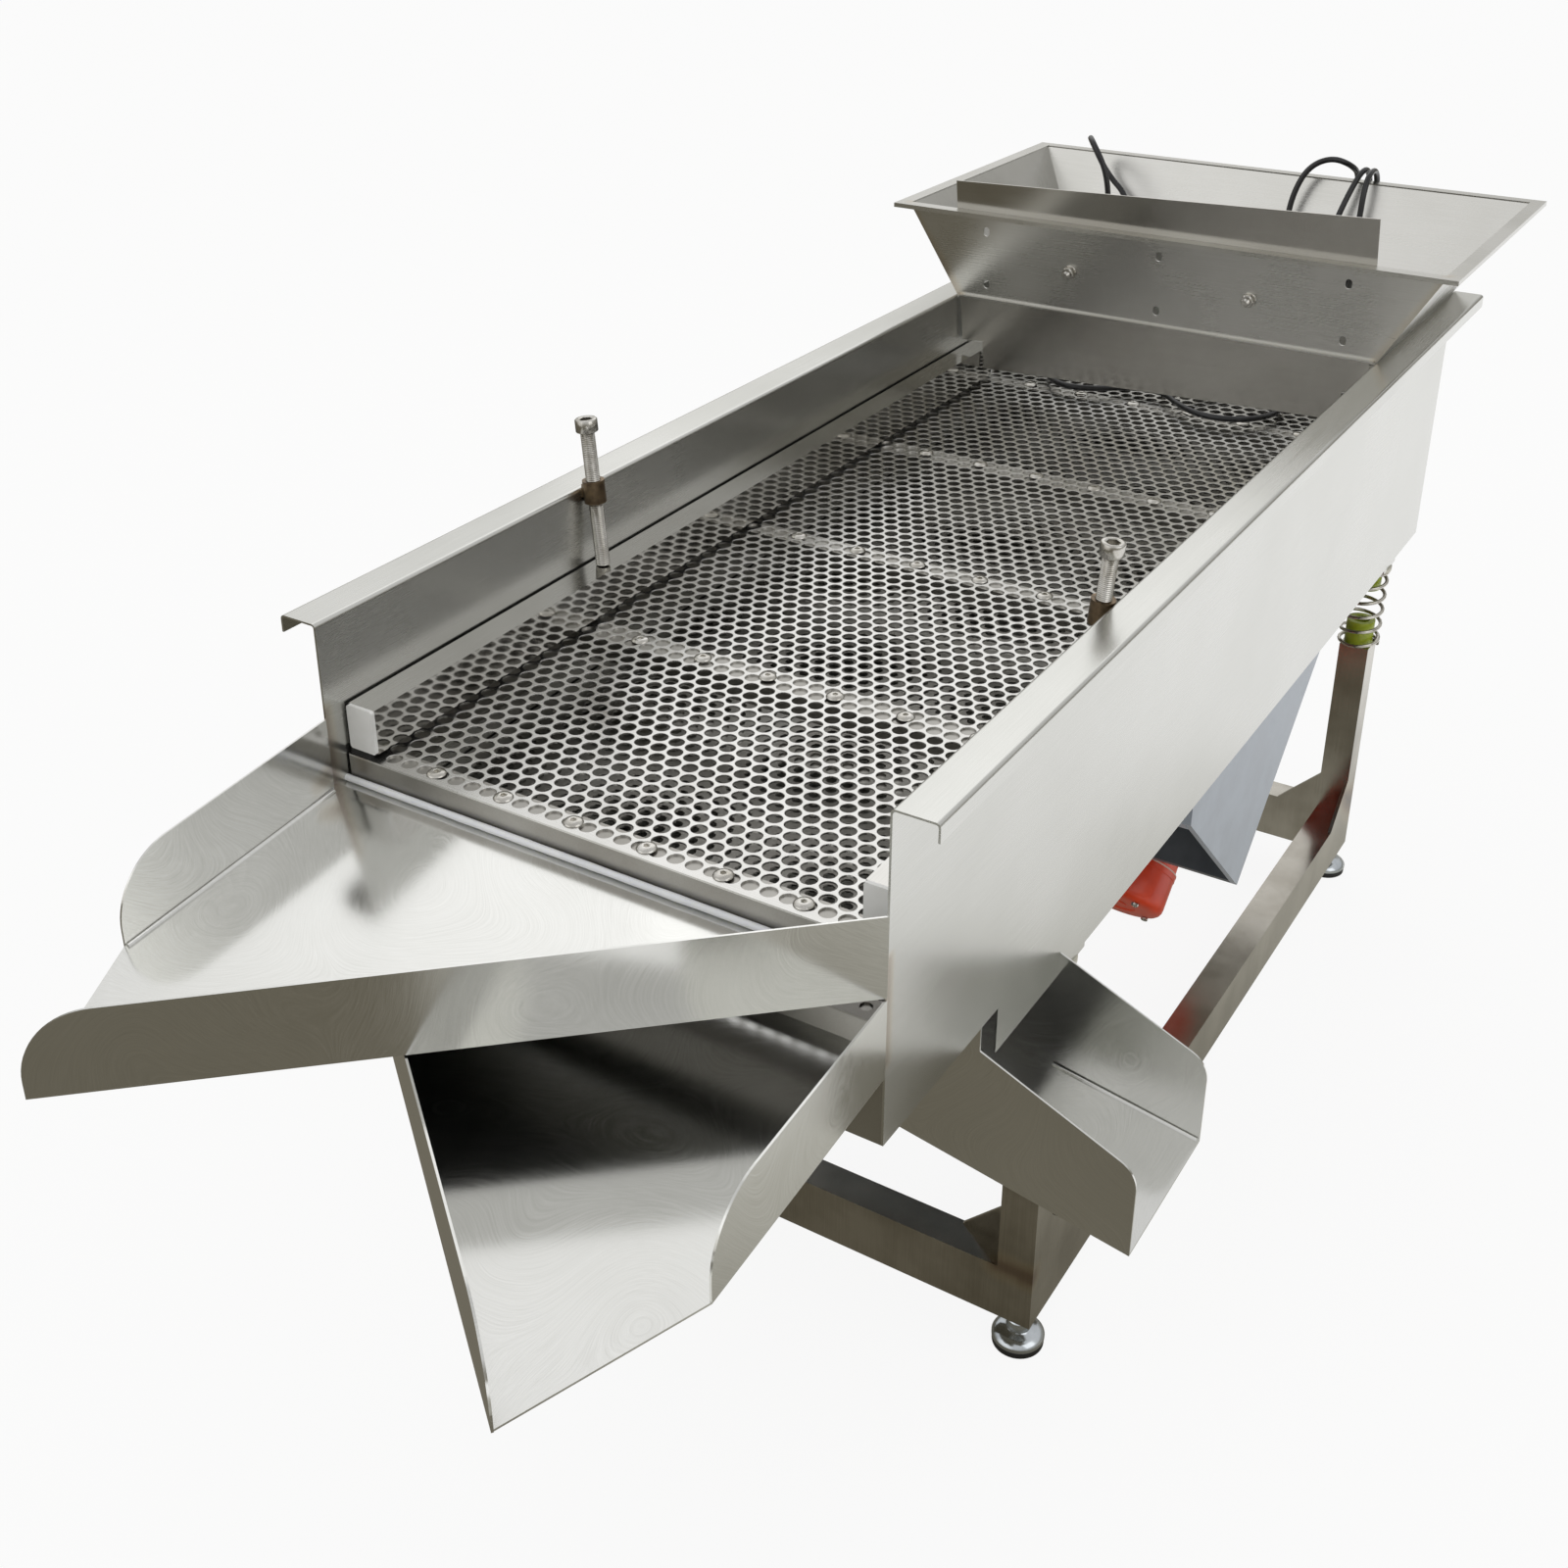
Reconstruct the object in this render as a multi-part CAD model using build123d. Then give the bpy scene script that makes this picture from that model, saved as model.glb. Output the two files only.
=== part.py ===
from build123d import *
import os
from math import atan2, cos, degrees, pi, radians, sin, tan

# Vibrating sieve with two screen decks, a hopper at the rear and three outlet chutes.
# It is drawn with x = 0 on the centre line, y = 0 at the front edge of the trough and
# z = 0 at the top of its flanges, then moved so that it stands on z = 0.

# Trough
trough_half_width = 300.0
trough_length = 1670.0
side_sheet = 2.0
flange_width = 41.0
flange_lip = 17.5
rear_depth = 377.5
front_step = 51.0
depth_step_y = 216.0
bend_radius = 2.5
pan_sheet = 2.0
front_plate_height = 70.5

# Screen decks
deck_front = 21.6
deck_top = -143.5
deck_rise_deg = 0.52
deck_spacing = 79.5
deck_depth = 28.0
screen_sheet = 2.0
deck_side_gap = 2.0
deck_bar_width = 30.0
deck_side_bar = 22.0
cross_bar_count = 6
last_screw_inset = 19.4
hole_diameter = 16.0
hole_pitch = 19.0
hole_coarseness = 5.0
screw_pitch = 80.0
screws_per_row = 6
screw_head = 19.0
screw_head_height = 3.2
ledge_leg = 25.0
ledge_sheet = 3.0
seal_size = 8.0

# Clamp bars that hold the upper deck down, and their screws
bar_width = 32.0
bar_height = 46.0
bar_wall = 2.0
bar_side_gap = 3.0
bar_front = 24.0
bar_end = 1326.0
strip_height = 6.0
strip_width = 24.0
plug_cap = 4.0
plug_depth = 20.0
clamp_lift = 12.0
clamp_lean_deg = 5.0
clamp_thread = 16.0
clamp_head = 24.0
clamp_head_height = 14.0
clamp_y = {"left": 402.0, "right": 430.0}
clamp_length = {"left": 165.0, "right": 147.0}
clamp_boss_z = {"left": -3.0, "right": -12.0}
boss_diameter = 24.0
boss_height = 25.0
thread_clearance = 0.08

# Upper and middle chutes
chute_slope_deg = 5.95
chute_sheet = 2.0
chute_wall = 76.0
chute_tip_y = -252.0
chute_nose_x = 228.0
chute_nose_y = -411.0
chute_tip_radius = 66.0

# Cross chute that takes the fines out to the right
cross_front = 181.0
cross_rear = 358.0
cross_tip_x = 459.0
cross_slope_deg = 9.7
cross_start_drop = 7.5
cross_wall_rise = 25.5
cross_wall_slope_deg = 23.5
cross_tip_radius = 28.0
cross_sheet = 2.0

# Hopper
hopper_front = 1276.0
hopper_lean = 12.0
hopper_rise = 124.0
hopper_flare = 74.0
hopper_rear_flare = 56.0
hopper_sheet = 2.0
hopper_rim = 17.0
hopper_rim_lip = 6.0
hopper_foot_lip = 6.0
hopper_hole_x = 254.0
hopper_hole_z = (22.0, 98.0)
hopper_hole = (9.0, 13.0)
gate_hole = 17.0
hopper_bolt_x = 127.0
hopper_bolt_z = 58.0
hopper_bolt = 10.0

# Feed gate behind the hopper's front wall
gate_sheet = 2.0
gate_tilt_deg = 2.05
gate_left = 289.0
gate_right = 296.5
gate_centre_x = -3.0
gate_bottom_z = -98.0
gate_height = 274.0
gate_gap = 0.4
gate_raise = 45.0
gate_lower = 10.0
gate_notch_gap = 3.0
gate_notch_room = 10.7
gate_slot_clearance = 0.6

# Motor bracket and motors
bracket_half_width = 290.0
bracket_sheet = 8.0
bracket_front_y = 757.0
bracket_front_depth = 44.0
bracket_vertex_y = 977.0
bracket_vertex_z = -629.0
motor_angle_deg = 42.0
mount_sheet = 10.0
mount_length = 330.0
beam_leg = 60.0
beam_lip = 18.0
motor_x = 125.0
motor_axis_height = 82.0
motor_radius = 60.0
motor_front = 8.0
motor_length = 168.0
cover_length = 62.0
cover_wall = 4.0
cover_radius = 62.0
cover_chamfer = 9.0
spigot = 5.0
spigot_gap = 0.3
motor_base = (124.0, 132.0, 14.0)
motor_bolt_spacing = (104.0, 96.0)
terminal_reach = 26.0
terminal_length = 52.0
terminal_height = 44.0
motor_bolt = 12.0
shaft_diameter = 22.0
weight_radius = 48.0
weight_width = 22.0
bearing_clearance = 0.05
gland_diameter = 18.0
gland_length = 26.0

# Springs between trough and base frame
spring_diameter = 60.0
spring_wire = 5.4
spring_turns = 6.5
spring_clearance = 0.35
cup_diameter = 41.0
lower_cup_height = 38.0
upper_cup_height = 32.0
seat_disc = 64.0
seat_disc_height = 5.0
seat_bracket = 58.0
seat_bracket_sheet = 6.0
# Travel of the trough to each side of rest; the record's shaking joint takes it.
shake_stroke = 4.0

# Base frame
base_inset = 8.0
base_front = 372.0
base_rear = 1551.5
tube = 43.0
tube_wall = 2.5
post_top = -512.0
rail_top = -801.0
rail_height = 72.0
gusset_leg = 62.0
gusset_sheet = 5.0
post_cap = 4.0
foot_plate = 8.0
foot_thread = 16.0
foot_thread_end = 23.0
foot_nut = 24.0
foot_nut_height = 11.0
foot_neck = 16.0
foot_disc = 60.0
foot_disc_height = 11.0
foot_pad_height = 8.0
foot_travel = 20.0

# Motor cables
cable_diameter = 8.5
cable_exit = 1.0

inner_half = trough_half_width - side_sheet
base_half_width = trough_half_width - base_inset
front_depth = rear_depth - front_step
pan_bottom = -rear_depth
deck_length = trough_length - side_sheet - deck_front - deck_side_gap
cross_bar_pitch = (deck_length - deck_bar_width / 2 - last_screw_inset) / (cross_bar_count - 1)
cross_wall_top = pan_bottom + cross_wall_rise
hopper_rear = trough_length
hopper_lean_deg = degrees(atan2(hopper_lean, hopper_rise))
floor_z = rail_top - rail_height - foot_nut_height - foot_neck - foot_disc_height - foot_pad_height
SIDES = {"left": -1, "right": 1}

parts = {}


def block(x0, x1, y0, y1, z0, z1):
    return Pos((x0 + x1) / 2, (y0 + y1) / 2, (z0 + z1) / 2) * Box(x1 - x0, y1 - y0, z1 - z0)


def profile(*points):
    return make_face(Polyline(*points, close=True))


def across(x0):
    """Plane at x0 whose own x is the part's y and whose own y is its z."""
    return Plane(origin=(x0, 0, 0), x_dir=(0, 1, 0), z_dir=(1, 0, 0))


def along(y0):
    """Plane at y0 whose own x is the part's x and whose own y is its z."""
    return Plane(origin=(0, y0, 0), x_dir=(1, 0, 0), z_dir=(0, -1, 0))


def prism_x(face, x0, x1):
    return extrude(across(x0) * face, x1 - x0)


def prism_y(face, y0, y1):
    return extrude(along(y0) * face, -(y1 - y0))


def folded(points, thickness, radius):
    """Section of a folded sheet: the points are one side, the sheet lies to their left."""
    pts = [Vector(*p) for p in points]
    runs = [(b - a).normalized() for a, b in zip(pts, pts[1:])]
    lefts = [Vector(-r.Y, r.X) for r in runs]
    inner = [pts[0] + lefts[0] * thickness]
    near, far = [], []
    for i in range(1, len(pts) - 1):
        turn = runs[i - 1].X * runs[i].Y - runs[i - 1].Y * runs[i].X
        half = (lefts[i - 1] + lefts[i]).normalized()
        inner.append(pts[i] + half * (thickness / half.dot(lefts[i])))
        near.append(radius if turn < 0 else radius + thickness)
        far.append(radius + thickness if turn < 0 else radius)
    inner.append(pts[-1] + lefts[-1] * thickness)
    side = FilletPolyline(*pts, radius=near) if near else Line(pts[0], pts[-1])
    back = FilletPolyline(*inner, radius=far) if far else Line(inner[0], inner[-1])
    return make_face([*side.edges(), *back.edges(), Line(pts[0], inner[0]), Line(pts[-1], inner[-1])])


def keep(name, *shapes):
    solids = [s for shape in shapes for s in shape.solids()]
    parts[name] = Compound(children=solids) if len(solids) > 1 else solids[0]


def deck_frame_plane(level):
    """Top of a deck at its front edge, tilted as the deck is; level 0 is the upper one."""
    return Location((0, deck_front, deck_top - level * deck_spacing), (deck_rise_deg, 0, 0))


def deck_z(y, above=0.0):
    """Height at y of a surface that lies this far above the upper deck."""
    return deck_top + above + (y - deck_front) * tan(radians(deck_rise_deg))


# Side plates, rear plate and pans

def side_plate(side):
    outer = trough_half_width + flange_width - side_sheet
    section = folded([(trough_half_width, -rear_depth), (trough_half_width, -side_sheet),
                      (outer, -side_sheet), (outer, -flange_lip)], side_sheet, bend_radius)
    plate = prism_y(section, 0, trough_length)
    plate -= block(0, 2 * trough_half_width, -1, depth_step_y, -rear_depth - 1, -front_depth)
    return plate if side > 0 else mirror(plate, Plane.YZ)


def make_trough():
    for name, side in SIDES.items():
        keep(f"side_plate_{name}", side_plate(side))
    keep("rear_plate", block(-inner_half, inner_half, trough_length - side_sheet, trough_length,
                             -rear_depth + pan_sheet, 0))
    front = block(-inner_half, inner_half, 0, pan_sheet, -front_depth, -front_depth + front_plate_height)
    floor = block(-inner_half, inner_half, 0, cross_front, -front_depth, -front_depth + pan_sheet)
    keep("front_pan", front + floor)
    keep("rear_pan", block(-inner_half, inner_half, cross_rear + cross_sheet, trough_length,
                           -rear_depth, -rear_depth + pan_sheet))


# Screen decks

def deck_frame():
    half = inner_half - deck_side_gap
    top, bottom = -screen_sheet, -deck_depth
    frame = block(-half, half, 0, deck_length, bottom, top)
    cuts = []
    for bay in range(cross_bar_count):
        y0 = deck_bar_width + bay * cross_bar_pitch
        y1 = min(cross_bar_pitch * (bay + 1), deck_length - deck_bar_width)
        if y1 > y0:
            cuts.append(block(-half + deck_side_bar, half - deck_side_bar, y0, y1, bottom - 1, top + 1))
    return frame - cuts


def screen_plate():
    half = inner_half - deck_side_gap
    plate = block(-half, half, 0, deck_length, -screen_sheet, 0)
    pitch = hole_pitch * hole_coarseness
    row_pitch = pitch * sin(radians(60))
    hole = extrude(RegularPolygon(hole_diameter * hole_coarseness / 2, 6), 3 * screen_sheet)
    rows = int((cross_bar_pitch - deck_bar_width) / row_pitch)
    columns = int((2 * half - 2 * deck_side_bar) / pitch)
    holes = []
    for bay in range(cross_bar_count - 1):
        middle = bay * cross_bar_pitch + (cross_bar_pitch + deck_bar_width) / 2
        for row in range(rows):
            count = columns - row % 2
            for column in range(count):
                x = (column - (count - 1) / 2) * pitch
                y = middle + (row - (rows - 1) / 2) * row_pitch
                holes.append(Pos(x, y, -2 * screen_sheet) * hole)
    return plate - holes


def deck_screws():
    head = Cylinder(screw_head / 2, screw_head_height, align=(Align.CENTER, Align.CENTER, Align.MIN))
    head = chamfer(head.faces().sort_by(Axis.Z)[-1].edges(), screw_head_height * 0.6)
    heads = []
    for row in range(cross_bar_count):
        for i in range(screws_per_row):
            x = (i - (screws_per_row - 1) / 2) * screw_pitch
            heads.append(Pos(x, deck_bar_width / 2 + row * cross_bar_pitch, 0) * head)
    return heads


def deck_ledges(level):
    shapes = []
    length = trough_length - side_sheet - deck_front - deck_bar_width
    for side in SIDES.values():
        wall = side * inner_half
        flat = sorted((wall, wall - side * ledge_leg))
        upright = sorted((wall, wall - side * ledge_sheet))
        top = -deck_depth
        shapes.append(block(*flat, deck_bar_width, length, top - ledge_sheet, top)
                      + block(*upright, deck_bar_width, length, top - ledge_leg, top))
    return [deck_frame_plane(level) * s for s in shapes]


def make_decks():
    upper, lower = deck_frame_plane(0), deck_frame_plane(1)
    plate, frame = screen_plate(), deck_frame()
    keep("upper_screen_plate", upper * plate)
    keep("upper_screen_frame", upper * frame)
    keep("upper_screen_screws", *[upper * s for s in deck_screws()])
    keep("lower_screen_plate", lower * plate)
    keep("lower_screen_frame", lower * frame)
    keep("deck_ledges", *deck_ledges(0), *deck_ledges(1))


# Clamp bars and screws. Each screw leans outwards, and its bar follows it.

def clamp_axis(name):
    """Foot of the clamp screw on its bar, and the way that it points."""
    side = SIDES[name]
    y = clamp_y[name]
    x = side * (inner_half - bar_side_gap - bar_width / 2)
    lean = radians(clamp_lean_deg)
    top = deck_z(y, strip_height + bar_height)
    foot = Vector(x, y, top + clamp_thread / 2 * sin(lean) + 0.3)
    return foot, Vector(side * sin(lean), 0, cos(lean))


def clamp_plane(name, height=0.0):
    foot, way = clamp_axis(name)
    return Plane(origin=foot + way * height, x_dir=(0, 1, 0), z_dir=way)


def clamp_screw(name):
    shank_length = clamp_length[name] - clamp_head_height
    low = (Align.CENTER, Align.CENTER, Align.MIN)
    shank = Cylinder(clamp_thread / 2, shank_length, align=low)
    head = Pos(0, 0, shank_length) * Cylinder(clamp_head / 2, clamp_head_height, align=low)
    head = chamfer(head.faces().sort_by(Axis.Z)[-1].edges(), 1.2)
    socket = Pos(0, 0, clamp_length[name] - clamp_head_height * 0.6) * extrude(
        RegularPolygon(clamp_thread / 2, 6), clamp_head_height)
    return clamp_plane(name) * (shank + head - socket)


def clamp_boss(name):
    """Threaded boss with the tab that welds it to the side plate."""
    foot, way = clamp_axis(name)
    height = (clamp_boss_z[name] - foot.Z) / way.Z
    side = SIDES[name]
    boss = Cylinder(boss_diameter / 2, boss_height)
    middle = clamp_plane(name, height)
    body = middle * boss
    centre = foot + way * height
    reach = block(*sorted((centre.X, side * inner_half)), centre.Y - boss_diameter * 0.3,
                  centre.Y + boss_diameter * 0.3, centre.Z - boss_height * 0.3, centre.Z + boss_height * 0.3)
    bore = middle * Cylinder(clamp_thread / 2 + thread_clearance, boss_height * 3)
    return body + reach - bore


def clamp_bar(name):
    """Hollow bar, its two end plugs and the rubber strip beneath it."""
    side = SIDES[name]
    outer = side * (inner_half - bar_side_gap)
    x = sorted((outer, outer - side * bar_width))
    place = Location((0, deck_front, deck_top), (deck_rise_deg, 0, 0))
    y0, y1 = bar_front - deck_front, bar_end - deck_front
    z0, z1 = strip_height, strip_height + bar_height
    tube_body = block(*x, y0 + plug_cap, y1 - plug_cap, z0, z1)
    tube_body -= block(x[0] + bar_wall, x[1] - bar_wall, y0, y1, z0 + bar_wall, z1 - bar_wall)
    plugs = []
    for end, way in ((y0, 1), (y1, -1)):
        cap = block(*x, *sorted((end, end + way * plug_cap)), z0, z1)
        cap = fillet(cap.edges().filter_by(Axis.Y), 3)
        core = block(x[0] + bar_wall, x[1] - bar_wall, *sorted((end, end + way * plug_depth)),
                     z0 + bar_wall, z1 - bar_wall)
        plugs.append(cap + core)
    centre = outer - side * strip_width / 2
    strip = block(centre - strip_width / 2, centre + strip_width / 2, y0, y1 - plug_depth, 0, strip_height)
    return place * tube_body, [place * p for p in plugs], place * strip


def make_clamps():
    keep("clamp_bosses", *[clamp_boss(name) for name in SIDES])
    for name in SIDES:
        body, plugs, strip = clamp_bar(name)
        keep(f"clamp_bar_{name}", body)
        keep(f"clamp_bar_plugs_{name}", *plugs)
        keep(f"clamp_bar_rubber_{name}", strip)
        keep(f"clamp_screw_{name}", clamp_screw(name))


# Chutes

def chute_floor_z(y, level):
    """Top of a chute's floor. It meets the underside of its deck at the deck's front."""
    start = deck_top - level * deck_spacing - deck_depth
    return start + (y - deck_front) * tan(radians(chute_slope_deg))


def chute_side(start, end, level, inward):
    """Upright wall on a plan line, rounded off at its outer end."""
    run = Vector(*end) - Vector(*start)
    length = run.length
    way = run.normalized()
    plane = Plane(origin=(start[0], start[1], 0), x_dir=(way.X, way.Y, 0), z_dir=(way.Y, -way.X, 0))
    z0, z1 = chute_floor_z(start[1], level), chute_floor_z(end[1], level)
    top = FilletPolyline((0, z0 + chute_wall), (length, z1 + chute_wall), (length, z1 - chute_sheet),
                         radius=chute_tip_radius)
    rest = Polyline((length, z1 - chute_sheet), (0, z0 - chute_sheet), (0, z0 + chute_wall))
    return extrude(plane * make_face([*top.edges(), *rest.edges()]), inward * chute_sheet)


def front_chute(level):
    """Chute with one straight side and one that runs across to its nose."""
    t = chute_sheet
    plan = profile((-trough_half_width, 0), (-inner_half, 0), (-inner_half, deck_front),
                   (inner_half, deck_front), (inner_half, 0), (trough_half_width, 0),
                   (-chute_nose_x, chute_nose_y), (-trough_half_width, chute_tip_y))
    column = extrude(Pos(0, 0, deck_top - (level + 3) * deck_spacing) * plan, 4 * deck_spacing)
    ys = (deck_front, chute_nose_y * 1.1)
    slab = prism_x(profile(*[(y, chute_floor_z(y, level)) for y in ys],
                           *[(y, chute_floor_z(y, level) - t) for y in reversed(ys)]),
                   -trough_half_width, trough_half_width)
    straight = chute_side((-trough_half_width, 0), (-trough_half_width, chute_tip_y), level, -1)
    slanted = chute_side((trough_half_width, 0), (-chute_nose_x, chute_nose_y), level, 1)
    slanted &= block(-trough_half_width, trough_half_width, 2 * chute_nose_y, 0,
                     pan_bottom, -flange_lip)
    chute = (column & slab) + straight + slanted
    return mirror(chute, Plane.YZ) if level else chute


def cross_floor_z(x):
    return pan_bottom - cross_start_drop - (x + trough_half_width) * tan(radians(cross_slope_deg))


def cross_chute():
    """Trough under the pans that carries the fines out to the right."""
    t = cross_sheet
    half = trough_half_width
    tip = cross_floor_z(cross_tip_x)
    wall_tip = cross_wall_top - (cross_tip_x - half) * tan(radians(cross_wall_slope_deg))
    shapes = []
    for y0, inner_top, step in ((cross_front, -front_depth, cross_front), (cross_rear, pan_bottom, 0)):
        outer = FilletPolyline((half, cross_wall_top), (cross_tip_x, wall_tip), (cross_tip_x, tip - t),
                               radius=cross_tip_radius)
        rest = Polyline((cross_tip_x, tip - t), (-half, cross_floor_z(-half) - t), (-half, inner_top),
                        (half, inner_top), (half, cross_wall_top))
        shapes.append(prism_y(make_face([*outer.edges(), *rest.edges()]), y0, y0 + t))
    floor = prism_y(profile((-half, cross_floor_z(-half)), (cross_tip_x, tip), (cross_tip_x, tip - t),
                            (-half, cross_floor_z(-half) - t)), cross_front, cross_rear + t)
    end = block(-half, -half + t, cross_front, cross_rear + t, cross_floor_z(-half) - t, pan_bottom)
    return shapes[0] + shapes[1] + floor + end


def make_chutes():
    keep("upper_chute", front_chute(0))
    keep("middle_chute", front_chute(1))
    keep("cross_chute", cross_chute())
    z = chute_floor_z(deck_front, 0)
    bead = profile((deck_front, z), (deck_front, z + seal_size),
                   (deck_front - seal_size, chute_floor_z(deck_front - seal_size, 0)))
    keep("chute_seal", prism_x(bead, -inner_half, inner_half))


# Hopper and feed gate

def frustum(inset):
    """Inside or outside of the hopper's walls; the front wall leans forward a little."""
    low = Rectangle(2 * (trough_half_width - inset), hopper_rear - hopper_front - 2 * inset)
    high = Rectangle(2 * (trough_half_width + hopper_flare - inset),
                     hopper_rear - hopper_front + hopper_lean + hopper_rear_flare - 2 * inset)
    low_y = (hopper_front + hopper_rear) / 2
    high_y = (hopper_front - hopper_lean + hopper_rear + hopper_rear_flare) / 2
    return loft([Pos(0, low_y, 0) * low, Pos(0, high_y, hopper_rise) * high])


def wall_y(z):
    """Outer face of the hopper's front wall."""
    return hopper_front - hopper_lean * z / hopper_rise


def wall_plane(x, z, offset=0.0):
    """Plane in the front wall's outer face; its z axis points out to the front."""
    lean = radians(hopper_lean_deg)
    normal = Vector(0, -cos(lean), -sin(lean))
    return Plane(origin=Vector(x, wall_y(z), z) + normal * offset, x_dir=(1, 0, 0), z_dir=normal)


def hopper():
    shell = frustum(0) - frustum(hopper_sheet)
    x1 = trough_half_width + hopper_flare
    y0, y1 = hopper_front - hopper_lean, hopper_rear + hopper_rear_flare
    r, t, z = hopper_rim, hopper_sheet, hopper_rise
    rim = block(-x1 - r, x1 + r, y0 - r, y1 + r, z, z + t) + (
        block(-x1 - r, x1 + r, y0 - r, y1 + r, z + t - hopper_rim_lip, z)
        - block(-x1 - r + t, x1 + r - t, y0 - r + t, y1 + r - t, z + t - hopper_rim_lip, z))
    rim -= block(-x1 + t, x1 - t, y0 + t, y1 - t, z - t, z + 2 * t)
    foot_lip = block(-inner_half + 1, inner_half - 1, hopper_front - hopper_foot_lip, hopper_front + t / 2, 0, t)
    slots = []
    for x in (-hopper_hole_x, 0, hopper_hole_x):
        for height in hopper_hole_z:
            hole = extrude(SlotOverall(hopper_hole[1], hopper_hole[0], rotation=90), 4 * t, both=True)
            slots.append(wall_plane(x, height) * hole)
    for side in (-1, 1):
        slots.append(wall_plane(side * hopper_bolt_x, hopper_bolt_z)
                     * Cylinder(hopper_bolt / 2 + gate_slot_clearance / 2, 8 * t))
    return shell + rim + foot_lip - slots


def gate_plane():
    """Origin in the middle of the gate's lower edge, y up along the way that it slides."""
    tilt = radians(gate_tilt_deg)
    lean = radians(hopper_lean_deg)
    up = Vector(0, -sin(lean), cos(lean))
    right = Vector(1, 0, 0) * cos(tilt) + up * sin(tilt)
    base = wall_plane(gate_centre_x, gate_bottom_z, -(hopper_sheet + gate_gap))
    return Plane(origin=base.origin, x_dir=right, z_dir=base.z_dir)


def gate_way():
    return gate_plane().y_dir


def feed_gate():
    """Tall plate with notches for the clamp bars and a slot for each of its two bolts."""
    plane = gate_plane()
    sheet = Pos((gate_right - gate_left) / 2, gate_height / 2) * Rectangle(gate_left + gate_right, gate_height)
    bar_inner = inner_half - bar_side_gap - bar_width
    notch = bar_inner - gate_notch_gap
    bar_top = deck_z(plane.origin.Y, strip_height + bar_height)
    notch_height = bar_top + clamp_lift + gate_notch_room - gate_bottom_z
    for x0, x1 in ((-gate_left, -notch - gate_centre_x), (notch - gate_centre_x, gate_right)):
        sheet -= Pos((x0 + x1) / 2, notch_height / 2) * Rectangle(x1 - x0, notch_height)
    for side in (-1, 1):
        bolt = plane.to_local_coords(wall_plane(side * hopper_bolt_x, hopper_bolt_z,
                                                -(hopper_sheet + gate_gap)).origin)
        length = gate_raise + gate_lower + hopper_bolt + 2 * gate_slot_clearance
        middle = bolt.Y + (gate_lower - gate_raise) / 2
        sheet -= Pos(bolt.X, middle) * SlotOverall(length, hopper_bolt + gate_slot_clearance, rotation=90)
    # Holes behind the wall's slots, for the gate's other height settings.
    for x in (-hopper_hole_x, 0, hopper_hole_x):
        for height in hopper_hole_z:
            hole = plane.to_local_coords(wall_plane(x, height, -(hopper_sheet + gate_gap)).origin)
            sheet -= Pos(hole.X, hole.Y) * Circle(gate_hole / 2)
    return extrude(plane * sheet, -gate_sheet)


def gate_bolts():
    """Bolt, head behind the gate, washer and nut on the front wall."""
    shapes = []
    for side in (-1, 1):
        place = wall_plane(side * hopper_bolt_x, hopper_bolt_z)
        back = hopper_sheet + gate_gap + gate_sheet + gate_gap
        low = (Align.CENTER, Align.CENTER, Align.MIN)
        shank = Pos(0, 0, -back) * Cylinder(hopper_bolt / 2, back + 18, align=low)
        head = Pos(0, 0, -back - 6) * extrude(RegularPolygon(9, 6), 6)
        washer = Cylinder(10, 2, align=low)
        nut = Pos(0, 0, 2) * extrude(RegularPolygon(9, 6), 8)
        shapes.append(place * (shank + head + washer + nut))
    return shapes


def make_hopper():
    keep("hopper", hopper())
    keep("gate_bolts", *gate_bolts())
    keep("feed_gate", feed_gate())


# Motor bracket and motors. Seat coordinates are x, u up along the mount plate and w away from it.

def seat(x, u, w):
    """Plane at a point under the mount plate; its z axis runs along u."""
    angle = radians(motor_angle_deg)
    along_u = Vector(0, cos(angle), sin(angle))
    away = Vector(0, sin(angle), -cos(angle))
    origin = Vector(x, bracket_vertex_y, bracket_vertex_z) + along_u * u + away * w
    return Plane(origin=origin, x_dir=(1, 0, 0), z_dir=along_u)


def seat_block(x0, x1, u0, u1, w0, w1):
    # The plane's own y points back towards the mount plate.
    middle = seat((x0 + x1) / 2, (u0 + u1) / 2, (w0 + w1) / 2)
    return middle * Box(x1 - x0, w1 - w0, u1 - u0)


def seat_cylinder(x, u0, u1, w, radius):
    return seat(x, (u0 + u1) / 2, w) * Cylinder(radius, u1 - u0)


def bracket_sides():
    rise = (pan_bottom - bracket_vertex_z) / tan(radians(motor_angle_deg))
    outline = profile((bracket_front_y, pan_bottom), (bracket_front_y, pan_bottom - bracket_front_depth),
                      (bracket_vertex_y, bracket_vertex_z), (bracket_vertex_y + rise, pan_bottom))
    shapes = []
    for side in SIDES.values():
        outer = side * bracket_half_width
        shapes.append(prism_x(outline, *sorted((outer, outer - side * bracket_sheet))))
    return shapes


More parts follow.
